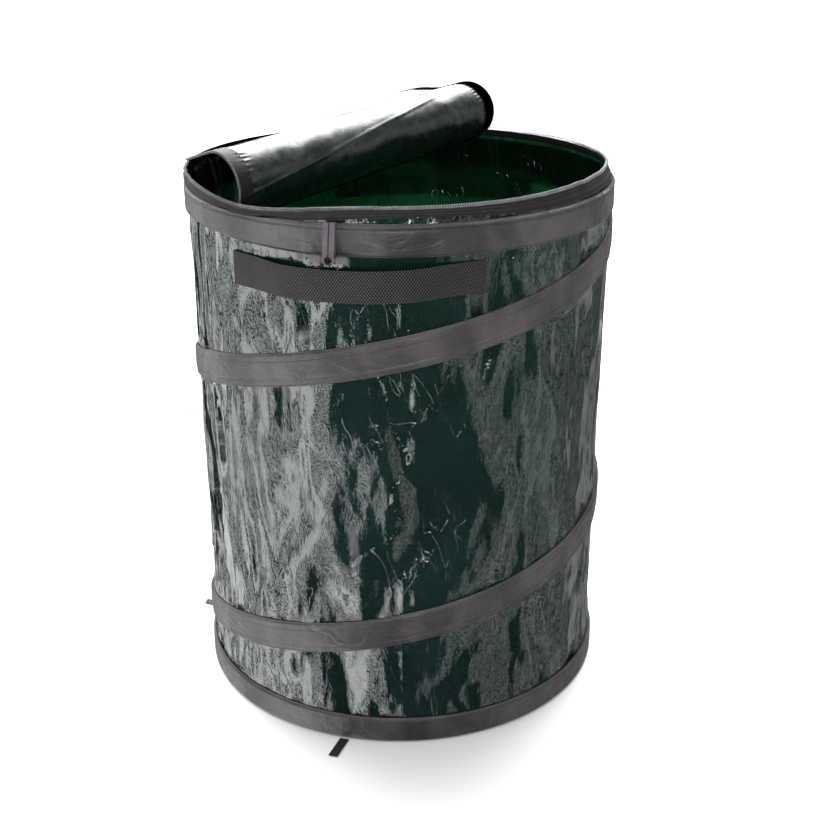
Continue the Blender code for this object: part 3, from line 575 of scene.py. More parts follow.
def ribbed_finish(name, colour, light, pitch_u, pitch_v, depth, wear):
    """Woven tape or webbing: crowns of the weave in staggered rows, painted lighter than what is between as a
    painted highlight.
    """
    material, tree, place, u, v = new_finish(name)
    crowns = calc(tree, "MULTIPLY", wave(tree, u, pitch_u), wave(tree, v, 2 * pitch_v))
    relief = bump(tree, noise(tree, place, 900.0, 2.0), 0.00015, bump(tree, crowns, depth))
    # Painted highlight on the weave's crowns, painted shade between them
    base = blend_colours(tree, remap(tree, crowns, 0.0, 0.75, 0.0, 1.0), colour, light)
    worn = remap(tree, noise(tree, place, 26.0, 3.0, 0.6), 0.4, 0.75, 0.0, wear)
    base = blend_colours(tree, worn, base, paler(light, 0.6))
    close_finish(tree, skin(tree, base, 0.50, relief, Specular_IOR_Level=0.20))
    return material


def hard_finish(name, colour, light, roughness, metallic, grain):
    """Plastic, enamel or wire: a fine grain that also sets its gloss, and worn patches of a second
    tone.
    """
    material, tree, place, _, _ = new_finish(name)
    grains = noise(tree, place, grain, 3.0, 0.6)
    worn = remap(tree, noise(tree, place, 60.0, 4.0, 0.65), 0.45, 0.75, 0.0, 1.0)
    base = blend_colours(tree, worn, colour, light)
    gloss = remap(tree, grains, 0.3, 0.7, roughness * 0.8, roughness * 1.25)
    close_finish(tree, skin(tree, base, gloss, bump(tree, grains, 0.00008), Metallic=metallic))
    return material


# Sizes and colours that a user may change


class CanSizes(PropertyGroup):
    crinkle_depth: FloatProperty(
        name="Crinkle depth", description="Depth of the tarp's largest creases", default=0.0034, unit="LENGTH"
    )
    wall_columns: IntProperty(
        name="Wall columns", description="Faces round the tarp wall", default=430, min=60, max=480
    )
    coil_pitch: FloatProperty(
        name="Coil pitch", description="Length of a turn of the zipper's coil", default=0.0025, unit="LENGTH"
    )
    camera_lens: FloatProperty(
        name="Lens", description="Focal length of the camera", default=56.93, unit="CAMERA"
    )


def colour(name, description, default):
    return FloatVectorProperty(
        name=name, description=description, default=default, subtype="COLOR", size=3, min=0.0, max=1.0
    )


class CanColours(PropertyGroup):
    tarp: colour("Tarp", "Outside of the tarp", (0.0034, 0.0100, 0.0092))
    tarp_light: colour("Tarp, light", "Tarp where it has paled", (0.0060, 0.0170, 0.0155))
    tarp_inside: colour("Tarp inside", "Inside of the tarp", (0.016, 0.120, 0.042))
    inside_light: colour("Tarp inside, light", "Inside where it has paled", (0.026, 0.190, 0.070))
    # Painted shade: the tarp's colour behind casings and handles, in the weave's hollows and on the lid's
    # underside
    shadow: colour("Tarp under casings", "Inside where a casing covers the tarp", (0.003, 0.006, 0.005))
    glow: colour("Glow", "Light that comes through the tarp", (0.10, 0.50, 0.20))
    casing: colour("Casing", "Satin casing of the spring", (0.024, 0.0215, 0.0245))
    casing_light: colour("Casing, light", "Casing where it is lighter", (0.056, 0.050, 0.056))
    tape: colour("Zipper tape", "Tape and coil of the zipper", (0.008, 0.0075, 0.008))
    # Painted highlight on the crowns of the tape's ribs
    tape_light: colour("Zipper tape, light", "Crowns of the tape's ribs", (0.030, 0.028, 0.030))
    nylon: colour("Zipper coil", "Nylon of the zipper's coil", (0.150, 0.145, 0.150))
    nylon_light: colour("Zipper coil, light", "Coil where it is worn", (0.280, 0.272, 0.280))
    webbing: colour("Webbing", "Handles and loops", (0.0035, 0.0032, 0.0034))
    # Painted highlight on the crowns of the webbing
    webbing_light: colour("Webbing, light", "Crowns of the webbing", (0.072, 0.066, 0.069))
    plastic: colour("Plastic", "Toggle bars", (0.075, 0.066, 0.070))
    metal: colour("Metal", "Slider and wire", (0.30, 0.30, 0.31))
    floor: colour("Floor", "Floor under the can", (0.90, 0.90, 0.90))


def sizes():
    return bpy.context.scene.can_sizes


def finish(name):
    """The named material, made when it is first asked for."""
    found = bpy.data.materials.get(name)
    if found is not None and found.get("can_finish"):
        return found
    c = bpy.context.scene.can_colours
    make, *settings = {
        "tarp_outside": (tarp_finish, c.tarp, c.tarp_light, c.shadow, c.glow, 0.02, 0.055),
        "tarp_inside": (
            tarp_finish, c.tarp_inside, c.inside_light, c.shadow, c.glow, 0.36, 0.10, 1.0, 0.0009,
        ),
        "lid_outside": (tarp_finish, c.tarp, c.tarp_light, c.shadow, c.glow, 0.04, 0.26, 0.30),
        # The lid's underside is painted in the shadow colour, a painted shade, with patches of the tarp's own
        # colour
        "lid_inside": (tarp_finish, c.shadow, c.tarp, c.shadow, c.glow, 0.06, 0.30, 0.5),
        "casing_cloth": (casing_finish, c.casing, c.casing_light),
        "ribbon_cloth": (casing_finish, c.casing_light, paler(c.casing_light, 1.6)),
        "zipper_tape": (ribbed_finish, c.tape, c.tape_light, 0.0022, 0.0016, 0.00010, 0.35),
        "webbing_cloth": (ribbed_finish, c.webbing, c.webbing_light, 0.0030, 0.0021, 0.00030, 0.15),
        "zipper_nylon": (hard_finish, c.nylon, c.nylon_light, 0.34, 0.0, 900.0),
        "toggle_plastic": (hard_finish, c.plastic, paler(c.plastic, 1.5), 0.50, 0.0, 420.0),
        "slider_enamel": (hard_finish, c.tape, c.nylon, 0.30, 0.6, 700.0),
        "spring_steel": (hard_finish, c.metal, paler(c.metal, 0.6), 0.34, 1.0, 700.0),
    }[name]
    made = make(name, *settings)
    made.name = name
    made["can_finish"] = True
    return made


# The wall


WALL_PIECES = {
    "lower": (46, ("tarp_wall_1", "tarp_wall_2", "tarp_wall_3")),
    "middle": (84, ("tarp_wall_4", "tarp_wall_5", "wall_seam")),
    "upper": (46, ("tarp_wall_6",)),
    "rim": (22, ("tarp_wall_7",)),
}


def wall_zones(angle, piece):
    """Lowest and highest point of a piece of the wall, and of the bare tarp that it shows.

    The casing of the climbing wire parts the wall into three: below its first turn, between its
    turns and above the second. A fourth lies behind the rim casing. Each runs once round from the
    wall's seam.
    """
    floor = np.zeros(np.shape(angle))
    base, rim, cut = floor + BASE_CASING_TOP, floor + RIM_CASING_BOTTOM, floor + RIM_CUT
    first = wire_height(angle)
    second = np.minimum(wire_height(angle + 360.0), RIM_CUT - 0.0004)
    over_first = np.maximum(first + CASING_HALF_WIDTH, base)
    under_second = np.minimum(second - CASING_HALF_WIDTH, rim)
    return {
        "lower": (floor, first, base, first - CASING_HALF_WIDTH),
        "middle": (first, second, over_first, under_second),
        "upper": (second, cut, np.maximum(second + CASING_HALF_WIDTH, base), rim),
        "rim": (cut, WALL_TOP + 0.0040 * near(angle, 274.0, 40.0), rim, rim),
    }[piece]


def wall_surface(piece):
    """Surface of a piece of the wall, of the distance round it and a share of its height.

    The radius is the wall's own, less a sine of the place between two casings, less creased facets
    at three sizes, pleats beside the casings and slanting folds, which all fade out at the
    casings, plus the wavy top edge and the lap of the seam past its start.
    """
    depth = sizes().crinkle_depth

    def surface(run, share):
        angle = np.degrees(run / WALL_RADIUS)
        low, high, bare_low, bare_high = wall_zones(angle, piece)
        height = low + (high - low) * share
        span = np.maximum(bare_high - bare_low, 1e-4)
        place = (height - bare_low) / span
        shown = (place > 0) & (place < 1) & (bare_high > bare_low)
        bow = np.where(shown, np.sin(math.pi * np.clip(place, 0, 1)) * np.minimum(1.0, span / 0.277), 0.0)
        gap = np.minimum(height - bare_low, bare_high - height)
        fade = np.where(shown, smooth(gap / 0.016), 0.0)
        part = (angle % 360.0) / 360.0
        lean = part + 0.030 * ripple(height * 1.7, 5, 5)
        big = crumple(lean, height + 0.03 * ripple(part * 6, 6, 5, 1, 3), 15, 0.16, 11)
        middle = crumple(part + 0.02 * height, height, 38, 0.055, 12)
        fine = crumple(part - 0.03 * height, height, 92, 0.022, 13)
        pleats = np.abs(ripple(part * 11, 14, 9, 1.0, 7.0)) * np.exp(-((gap / 0.035) ** 2))
        left, right = near(angle, 195.0, 50.0), near(angle, 335.0, 65.0)
        slanted = part + 0.10 * height * (left - 0.3)
        folds = np.abs(ripple(slanted * 5, 17, 9, 1.0, 8.0)) * (right + left)
        relief = 2.2 * (big - 0.2) + 0.9 * (middle - 0.2) + 0.30 * (fine - 0.2) + 0.35 * pleats + 0.5 * folds
        edge = 0.0006 * ripple(part * 60, 15, 9, 1.0, 8.0) * smooth((height - RIM_CASING_TOP) / 0.003)
        lap = 0.0009 * smooth((WALL_SEAM_ANGLE - 360.0 + 4.6 - angle) / 0.3)
        radius = WALL_RADIUS - 0.0026 * bow - depth * relief * fade + edge + lap
        return on_can(np.minimum(radius, WALL_RADIUS + 0.0014), angle, height)

    return surface


def unshaded_share(angle, height, bare_low, bare_high):
    """How far the wall is kept out of the painted shade: one between the casings and over the rim casing,
    zero behind them, and little behind a handle, with smooth steps between. One less this share is
    painted shade, as if the casings and handles blocked the light through the tarp.
    """
    unshaded = smooth((height - bare_low) / 0.003 + 0.5) * smooth((bare_high - height) / 0.003 + 0.5)
    unshaded = np.maximum(unshaded, smooth((height - RIM_CASING_TOP) / 0.001))
    behind = smooth((STRAP_TOP - height) / 0.002) * smooth((height - STRAP_TOP + STRAP_WIDTH) / 0.002)
    for centre in STRAP_ANGLES:
        unshaded = unshaded * (1.0 - 0.85 * behind * smooth((STRAP_HALF_ANGLE - off_by(angle, centre)) / 1.5))
    return unshaded


class CAN_OT_wall(Operator):
    """Tarp wall in four pieces that meet under the casings and at the wall's seam"""

    bl_idname = "can.wall"
    bl_label = "Tarp wall"

    def execute(self, context):
        round_it = np.linspace(WALL_SEAM_ANGLE - 360.0, WALL_SEAM_ANGLE, sizes().wall_columns + 1)
        for piece, (rows, nodes) in WALL_PIECES.items():
            run, share = np.meshgrid(np.radians(round_it) * WALL_RADIUS, np.linspace(0, 1, rows + 1))
            angle = np.degrees(run / WALL_RADIUS)
            low, high, bare_low, bare_high = wall_zones(angle, piece)
            height = low + (high - low) * share
            uv = np.stack([run + 2.0, height], axis=-1)
            mesh = shell(f"tarp_wall_{piece}", wall_surface(piece), run, share, TARP_THICKNESS, uv)
            # Painted shade: the tarp is painted dark behind the casings and handles, as if they blocked the
            # light through it
            unshaded = unshaded_share(angle, height, bare_low, bare_high)
            covered = mesh.attributes.new("covered", "FLOAT", "POINT").data
            covered.foreach_set("value", np.tile(1.0 - unshaded.ravel(), 2))
            stays = piece != "rim"
            dress(
                show(mesh, "tarp_outside", "tarp_inside"), "tarp", "root" if stays else "rim", nodes,
                folds=stays, flat=(TAU * WALL_RADIUS, float(np.max(high) - np.min(low))), held="stretched",
                rests_on=["spring_wire_round" if stays else "spring_wire_rim"],
                area=float(np.mean(high - low)) * TAU * WALL_RADIUS,
            )
        return {"FINISHED"}


class CAN_OT_floor_panel(Operator):
    """Floor panel: a disc of tarp with creases that run across it"""

    bl_idname = "can.floor_panel"
    bl_label = "Floor panel"

    def execute(self, context):
        edge = WALL_RADIUS - TARP_THICKNESS - 0.0004

        def surface(run, out):
            radius = edge * np.clip(out, 0.004, 1.0)
            x, y = radius * np.cos(run / edge), radius * np.sin(run / edge)
            crease = crumple((x + 0.3) / 0.6, y, 14, 0.05, 21) - 0.5
            lift = 0.0020 * np.clip(crease + 0.45, 0.0, 1.0) * smooth((edge - radius) / 0.02)
            return np.stack([x, y, 0.00065 + lift], axis=-1)

        run, out = np.meshgrid(np.linspace(0, TAU * edge, 180, endpoint=False), np.linspace(1, 0.004, 60))
        closed_run = np.concatenate([run, run[:, :1] + TAU * edge], 1)
        flat = surface(closed_run, np.concatenate([out, out[:, :1]], 1))
        mesh = shell("floor_sheet", surface, run, out, FLOOR_THICKNESS, flat[..., :2] + 1.0, wrap=True)
        dress(
            show(mesh, "tarp_inside", "tarp_outside"), "tarp", "root", ("floor_panel",),
            flat=(2 * edge, 2 * edge), held="laid", rests_on=["floor"], area=math.pi * edge**2,
        )
        return {"FINISHED"}


# Casings and the spring


def casing_section(share, width, bead, hem):
    """Height over the sewn cloth across a casing: a hump over the wire, with seams beside it.

    share runs from the lower edge to the upper one. A rounded step rises from each sewn edge,
    a hem lies along the lower edge and a bead along the upper one where they are asked for.
    """
    low = share * width
    high = width - low
    rise = smooth(low / 0.0035) * smooth(high / 0.003)
    body = 0.0026 * rise
    if hem:
        body = body - 0.0006 * np.exp(-(((low - 0.0088) / 0.0012) ** 2)) * rise
        body = body - 0.0006 * (1 - smooth((low - 0.0075) / 0.004)) * rise
    if bead:
        body = body - 0.0009 * np.exp(-(((high - 0.0056) / 0.0010) ** 2)) * rise
        body = body + 0.0004 * np.exp(-(((high - 0.0030) / 0.0016) ** 2))
    return body


def casing_creases(run, height, width_share, seed):
    """Depth of the casing's slanting puckers: creased facets at two sizes, which fade out at its
    edges as a sine of the width does, and bulge by no more than 0.3 mm.
    """
    slant = (run + height * 0.8) / (TAU * CASING_RADIUS)
    soft = crumple(slant, height * 0.6, 34, 0.03, seed) - 0.5
    tight = crumple(slant - 0.4 * height, height, 90, 0.012, seed + 1) - 0.5
    depth = (0.0009 * soft + 0.0002 * tight) * np.sin(math.pi * np.clip(width_share, 0, 1)) ** 0.7
    return np.maximum(depth, -0.0003)


def ring_casing(name, low, width, bead, seed):
    """A casing round one end ring: the sewn radius plus its section less its creases."""

    def surface(run, share):
        height = low + width * share
        radius = SEWN_RADIUS + casing_section(share, width, bead, False)
        radius = radius - casing_creases(run, height, share, seed)
        return on_can(radius, np.degrees(run / CASING_RADIUS), height)

    run, share, uv = ring_grid(CASING_RADIUS, 420, 26, width)
    return shell(name, surface, run, share, CASING_THICKNESS, uv, wrap=True, reach=0.0006)


class CAN_OT_casings(Operator):
    """Satin casings of the rim ring, the base ring and the climbing wire"""

    bl_idname = "can.casings"
    bl_label = "Casings"

    def execute(self, context):
        first, last = BASE_CORNER - 4.0, RIM_CORNER + 3.0
        around_can = TAU * CASING_RADIUS
        length = math.radians(last - first) * CASING_RADIUS
        band = self.spiral(np.radians(np.linspace(first, last, 760)) * CASING_RADIUS)
        for mesh, body, node_name, flat, wire in (
            (ring_casing("rim_band", RIM_CASING_BOTTOM, 0.0333, True, 31), "rim", "rim_casing",
             (around_can, 0.0345), "rim"),
            (ring_casing("base_band", 0.0002, 0.0308, False, 33), "root", "base_casing",
             (around_can, 0.032), "round"),
            (band, "root", "spiral_casing", (length, 0.038), "round"),
        ):
            dress(
                show(mesh, "casing_cloth"), "casing", body, (node_name,), folds=mesh is band,
                flat=flat, held="stretched", rests_on=[f"spring_wire_{wire}"],
            )
        return {"FINISHED"}

    @staticmethod
    def spiral(distances):
        """The climbing casing: the sewn radius plus its section less its creases, cut off where it
        would cover the base casing or the rim casing.
        """
        width = 2 * CASING_HALF_WIDTH

        def surface(run, share):
            angle = np.degrees(run / CASING_RADIUS)
            bottom = wire_height(angle) - CASING_HALF_WIDTH
            low = np.maximum(bottom, BASE_CASING_TOP + 0.0004)
            high = np.minimum(bottom + width, RIM_CASING_BOTTOM - 0.0004)
            height = low + (high - low) * share
            wide = np.clip((height - bottom) / width, 0, 1)
            radius = SEWN_RADIUS + casing_section(wide, width, False, True) - 0.0002
            return on_can(radius - casing_creases(run, height, wide, 35), angle, height)

        run, share = np.meshgrid(distances, np.linspace(0, 1, 25))
        uv = np.stack([run + 3.0, share * width], axis=-1)
        return shell("spiral_band", surface, run, share, CASING_THICKNESS, uv, reach=0.0006)


class CAN_OT_spring(Operator):
    """The spring: one wire from the base ring up to the rim ring, hidden in the casings.

    It is drawn in two lengths that meet where the climb enters the rim casing, so that the rim
    ring stays round in its casing when the can is pushed down."""

    bl_idname = "can.spring"
    bl_label = "Spring wire"

    def execute(self, context):
        # Degrees from a ring's join after which the climb clears the ring by a wire and 0.6 mm
        clear = math.sqrt((2 * WIRE_RADIUS + 0.0006) * 4 * EASE / RISE)
        ends = (BASE_CORNER - EASE - 360.0 + clear, RIM_CORNER - EASE, RIM_CORNER + EASE + 360.0 - clear)
        for name, first, last in (("round", *ends[:2]), ("rim", *ends[1:])):
            angle = np.linspace(first, last, int((last - first) / 3.0))
            path = on_can(WIRE_PATH_RADIUS, angle, wire_height(angle))
            wire = show(tube(f"spring_wire_{name}", path, WIRE_RADIUS, 8, (0, 0, 1)), "spring_steel")
            climbs = name == "round"
            dress(wire, "wire", "root" if climbs else "rim", ("spring_wire",) if climbs else (), folds=climbs)
        return {"FINISHED"}


# The zipper round the mouth


class CAN_OT_zipper(Operator):
    """Zipper tape that stands up from the wall and leans in, with the coil on its edge"""

    bl_idname = "can.zipper"
    bl_label = "Zipper"

    def execute(self, context):
        self.tape()
        self.coil()
        return {"FINISHED"}

    @staticmethod
    def sway(run, radius):
        """How the tape's edge wanders in and out: a smooth random wave round the mouth."""
        return 0.0006 * ripple(run / (TAU * radius) * 7, 41, 9)

    def tape(self):
        """The radius goes from the sewn one towards the top edge's by a smooth step up the height,
        plus three cosine ribs and the sway, and the foot is lifted at the front.
        """

        def surface(run, share):
            angle = np.degrees(run / SEWN_RADIUS)
            foot = TAPE_BOTTOM + 0.0050 * near(angle, 274.0, 38.0)
            radius = SEWN_RADIUS + (TAPE_TOP_RADIUS - SEWN_RADIUS) * smooth((share - 0.15) / 1.1) * 1.02
            radius = radius + 0.00035 * np.cos(TAU * 3 * share) * smooth(share * 8) * smooth((1 - share) * 8)
            radius = radius + self.sway(run, SEWN_RADIUS) * share
            return on_can(radius, angle, foot + (TAPE_TOP - foot) * share)

        run, share, uv = ring_grid(SEWN_RADIUS, 420, 15, MOUTH_TAPE_WIDTH)
        mesh = shell("mouth_tape", surface, run, share, TAPE_THICKNESS, uv, wrap=True)
        dress(
            show(mesh, "zipper_tape"), "zipper", "rim", ("zip_tape",),
            flat=(TAU * SEWN_RADIUS, MOUTH_TAPE_WIDTH), held="stretched", rests_on=["tarp_wall_rim"],
        )

    def coil(self):
        """The coil runs along the tape's edge from one end of the hinge round to the other."""
        gap = HINGE_HALF_ANGLE + 2.0
        angle = np.linspace(HINGE_ANGLE + gap, HINGE_ANGLE - gap + 360.0, 400)
        radius = COIL_RADIUS + self.sway(np.radians(angle), 1.0)
        centre = on_can(radius, angle, np.full(len(angle), COIL_HEIGHT))
        out = around(1.0, angle, 0.0)
        path = coil(centre, out, np.broadcast_to((0.0, 0.0, 1.0), out.shape), MOUTH_TEETH)
        teeth = show(tube("mouth_coil", path, MOUTH_NYLON, 5, (0, 0, 1)), "zipper_nylon")
        dress(teeth, "zipper", "rim", ("zip_coil",))


class CAN_OT_slider(Operator):
    """Zipper slider, its bridge and its pull, in dark enamel"""

    bl_idname = "can.slider"
    bl_label = "Slider"

    def execute(self, context):
        for name in ("zip_slider", "slider_bridge", "zip_pull"):
            repaint(name, "slider_enamel")
        return {"FINISHED"}


# The lid


LID_PIECES = (
    ("hinge", 26, ("lid_hinge_panel", "lid_arch_1"),
     ("lid_hinge_tape", "lid_tape_arch_1_left", "lid_tape_arch_1_right")),
    ("arch", 26, ("lid_arch_2",), ("lid_tape_arch_2_left", "lid_tape_arch_2_right")),
    ("brow", 22, ("lid_curl_1",), ("lid_tape_curl_1_left", "lid_tape_curl_1_right")),
    ("curl_1", 14, ("lid_curl_2",), ("lid_tape_curl_2_left", "lid_tape_curl_2_right")),
    ("curl_2", 14, ("lid_curl_3",), ("lid_tape_curl_3_left", "lid_tape_curl_3_right")),
    ("curl_3", 14, ("lid_curl_4",), ("lid_tape_curl_4_left", "lid_tape_curl_4_right")),
    ("tail", 60, ("lid_tail",), ("lid_tape_tail",)),
)


def lid_place(flat):
    """Carries points of the flat lid (forward, sideways, up) to where they lie at rest.

    From the free edge back to the sewn one, what lies beyond each fold turns about it by its
    bend, and what lies within its half width takes the circle that touches both sides.
    """
    p = np.array(flat, float)
    for at, slant, bend, half, lift in reversed(LID_FOLDS):
        cosine, sine = math.cos(math.radians(slant)), math.sin(math.radians(slant))
        turn = math.radians(bend)
        away = (flat[..., 0] - at) * cosine - flat[..., 1] * sine
        x = (p[..., 0] - at) * cosine - p[..., 1] * sine
        y = (p[..., 0] - at) * sine + p[..., 1] * cosine
        z = p[..., 2] - lift
        radius = half / math.tan(abs(turn) / 2)
        part = turn * (np.clip(away / half, -1, 1) + 1) / 2
        bent_x = -half + radius * np.sin(abs(part)) - z * np.sin(part)
        bent_z = math.copysign(1, turn) * radius * (1 - np.cos(part)) + z * np.cos(part)
        before, after = away <= -half, away >= half
        x, z = (
            np.where(before, x, np.where(after, x * math.cos(turn) - z * math.sin(turn), bent_x)),
            np.where(before, z, np.where(after, x * math.sin(turn) + z * math.cos(turn), bent_z)),
        )
        p = np.stack([at + x * cosine + y * sine, -x * sine + y * cosine, z + lift], axis=-1)
    ahead = math.radians(HINGE_ANGLE + 180.0)
    return np.stack([
        p[..., 0] * math.cos(ahead) - p[..., 1] * math.sin(ahead),
        p[..., 0] * math.sin(ahead) + p[..., 1] * math.cos(ahead),
        p[..., 2] + LID_HEIGHT,
    ], axis=-1)


def lid_lines(number):
    """The lines across the flat lid where a piece starts and ends: half way between each fold and
    the next, and none at the lid's own edges.
    """
    folds = [(at, slant) for at, slant, _, _, _ in LID_FOLDS]
    halves = [((a + b) / 2, (s + t) / 2) for (a, s), (b, t) in zip(folds, folds[1:])]
    lines = [None] + halves + [None]
    return lines[number], lines[number + 1]


def lid_edge(forward):
    """Radius of the lid's edge, which widens to the mouth's own at the sewn part."""
    return LID_RADIUS + (TAPE_TOP_RADIUS - LID_RADIUS) * smooth((-0.190 - forward) / 0.010)


def lid_relief(forward, sideways):
    """Lift of the lid's cloth: creased facets at two sizes, a ridge along the roll, gathers beside
    the tape, and the arch's right edge, which stands up by the product of three smooth steps.
    """
    across = sideways / 0.9 + 0.5
    tight = crumple(across, forward, 40, 0.018, 51) - 0.5
    wide = crumple(across, forward, 11, 0.05, 52) - 0.5
    ridge = np.exp(-(((forward + 0.016 + 0.03 * sideways) / 0.0022) ** 2))
    edge = lid_edge(forward) - np.hypot(forward, sideways)
    gather = ripple(np.arctan2(sideways, forward) / TAU * 44, 53, 9, 1, 6)
    gather = gather * np.exp(-(((edge - 0.021) / 0.007) ** 2))
    raised = smooth((sideways - 0.02) / 0.12) * smooth((forward + 0.195) / 0.05)
    raised = raised * smooth((-0.055 - forward) / 0.04)
    cloth = -0.0007 * tight - 0.0012 * wide + 0.0007 * ridge + 0.0007 * gather
    return cloth * smooth(edge / 0.010) + 0.0085 * raised


def lid_sheet(name, forward, sideways, lift, thickness):
    """Closed sheet over flat places of the lid, a lift above its relief. Its normals come from the
    relief and the folds, by small steps forward and sideways.
    """

    def placed(f, s):
        return lid_place(np.stack([f, s, lid_relief(f, s) + lift], -1))

    step = 0.0006
    along = placed(forward + step, sideways) - placed(forward - step, sideways)
    across = placed(forward, sideways + step) - placed(forward, sideways - step)
    out = unit(np.cross(along, across))
    uv = np.stack([forward, sideways], -1) + 1.0
    return closed_sheet(name, placed(forward, sideways), out, thickness, uv, (1.0, 1.0), flip=True)


def flap_grid(number, rows, columns=150):
    """Flat forward and sideways places over one piece of the lid.

    The rows are lines between the piece's two border lines, closer together towards the lid's
    edge, and the columns are shares of each line from its left end to its right one.
    """
    first, last = lid_lines(number)
    low = first or (-TAPE_TOP_RADIUS + 0.0002, 0.0)
    high = last or ((LID_RADIUS - 0.0002) / math.cos(math.radians(CURL_SLANT)), CURL_SLANT)
    even = share = np.linspace(0, 1, rows)
    if first is None or last is None:
        ease = np.sin(even * math.pi / 2)
        share = 0.35 * even + 0.65 * (1 - ease[::-1] if first is None else ease)
    slant = np.radians(low[1] + (high[1] - low[1]) * share)
    distance = (low[0] + (high[0] - low[0]) * share) * np.cos(slant)
    radius = lid_edge(distance * np.cos(slant))
    reach = np.arccos(np.clip(distance / radius, -1, 1))
    turns = (-slant - reach, -slant + reach)
    start, end = (np.stack([radius * np.cos(turn), radius * np.sin(turn)], -1)[:, None] for turn in turns)
    level = np.linspace(0, 1, columns)
    t = (0.5 * (1 - np.cos(math.pi * level)) / 2 + 0.5 * level)[None, :, None]
    flat = start + (end - start) * t
    return flat[..., 0], flat[..., 1]


def flat_area(forward, sideways):
    """Area of a grid on the flat lid: the cross products of each cell's diagonals, halved."""
    a = forward[1:, 1:] - forward[:-1, :-1]
    b = sideways[1:, :-1] - sideways[:-1, 1:]
    c = forward[1:, :-1] - forward[:-1, 1:]
    d = sideways[1:, 1:] - sideways[:-1, :-1]
    return float(np.abs(a * b - c * d).sum() / 2)


def side_angles(radius, number, side):
    """Angles on a circle of the flat lid where one side of a piece starts and ends."""

    def line_ends(at, slant):
        reach = np.degrees(np.arccos(np.clip(at * math.cos(math.radians(slant)) / radius, -1, 1)))
        return -slant - reach, -slant + reach

    low, high = lid_lines(number)
    low_left, low_right = line_ends(*(low or (-HINGE_CHORD, 0.0)))
    if side == "round":
        return low_left, low_right
    if side == "back":
        return low_right, 360.0 + low_left
    high_left, high_right = line_ends(*high)
    return (low_left, high_left) if side == "left" else (high_right, low_right)


class CAN_OT_lid(Operator):
    """Lid flap rolled back on itself, with its edge tape and coil, in pieces that meet half way between its
    folds
    """

    bl_idname = "can.lid"
    bl_label = "Lid"

    def execute(self, context):
        for number, (name, rows, flap_nodes, tape_nodes) in enumerate(LID_PIECES):
            pieces = [self.flap(f"lid_{name}_cloth", number, rows, flap_nodes)]
            sides = ("left", "right")
            sides = {0: (*sides, "back"), len(LID_PIECES) - 1: ("round",)}.get(number, sides)
            for side in sides:
                stands_for = tape_nodes if side == sides[0] else ()
                pieces.append(self.tape(f"lid_{name}_tape_{side}", number, side, stands_for))
                if number:
                    pieces.append(self.coil(f"lid_{name}_tape_{side}_coil", number, side))
            start, end = self.blend_span(number)
            for piece in pieces:
                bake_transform(piece)
        return {"FINISHED"}

    @staticmethod
    def blend_span(number):
        """Points before and after a fold between which a piece turns with it."""
        at, slant, _, half, _ = LID_FOLDS[number]
        across = np.array([math.cos(math.radians(slant)), -math.sin(math.radians(slant)), 0.0])
        return tuple(tuple(lid_place(np.array([at, 0.0, 0.0]) + reach * across)) for reach in (-half, half))

    @staticmethod
    def flap(name, number, rows, stands_for):
        forward, sideways = flap_grid(number, rows)
        mesh = lid_sheet(name, forward, sideways, TARP_THICKNESS / 2, TARP_THICKNESS)
        return dress(
            show(mesh, "lid_outside", "lid_inside"), "tarp", replaces=stands_for,
            flat=(float(np.ptp(sideways)), float(np.ptp(forward))), held="folded", rests_on=["mouth_tape"],
            area=flat_area(forward, sideways),
        )

    @staticmethod
    def tape(name, number, side, stands_for):
        """The edge tape at one side of a piece: nine lines from the lid's edge inwards, with ribs
        that are a cosine of the width.
        """
        width = np.linspace(0, 1, 9)[:, None]
        ring = LID_RADIUS - LID_TAPE_WIDTH * width
        spans = np.array([side_angles(radius, number, side) for radius in ring[:, 0]])
        steps = 90 if number == 0 or side == "round" else 24
        angle = np.radians(spans[:, :1] + (spans[:, 1:] - spans[:, :1]) * np.linspace(0, 1, steps + 1)[None])
        grow = lid_edge(ring * np.cos(angle)) / LID_RADIUS
        forward, sideways = ring * np.cos(angle) * grow, ring * np.sin(angle) * grow
        if side in ("left", "round"):
            forward, sideways = forward[::-1], sideways[::-1]
        lift = LID_TAPE_LIFT + 0.0004 + 0.00018 * np.cos(TAU * 4 * width)
        mesh = lid_sheet(name, forward, sideways, lift, TAPE_THICKNESS)
        arc = math.radians(abs(spans[4, 1] - spans[4, 0])) * (LID_RADIUS - LID_TAPE_WIDTH / 2)
        return dress(
            show(mesh, "zipper_tape"), "zipper", replaces=stands_for,
            flat=(arc, LID_TAPE_WIDTH), held="folded", rests_on=["mouth_tape"],
        )

    @staticmethod
    def coil(name, number, side):
        angle = np.radians(np.linspace(*side_angles(LID_RADIUS, number, side), 200))
        outwards = np.stack([np.cos(angle), np.sin(angle), 0 * angle], -1)
        radius = lid_edge(LID_RADIUS * np.cos(angle)) + 0.0006
        centre = outwards * radius[:, None] + (0, 0, LID_TAPE_LIFT + 0.0002)
        centre[:, 2] += lid_relief(centre[:, 0], centre[:, 1])
        path = coil(centre, outwards, np.broadcast_to((0.0, 0.0, 1.0), centre.shape), LID_TEETH)
        teeth = show(tube(name, path, LID_NYLON, 5, (0, 0, 1), move=lid_place), "zipper_nylon")
        return dress(teeth, "zipper")


# Webbing, toggles and loops


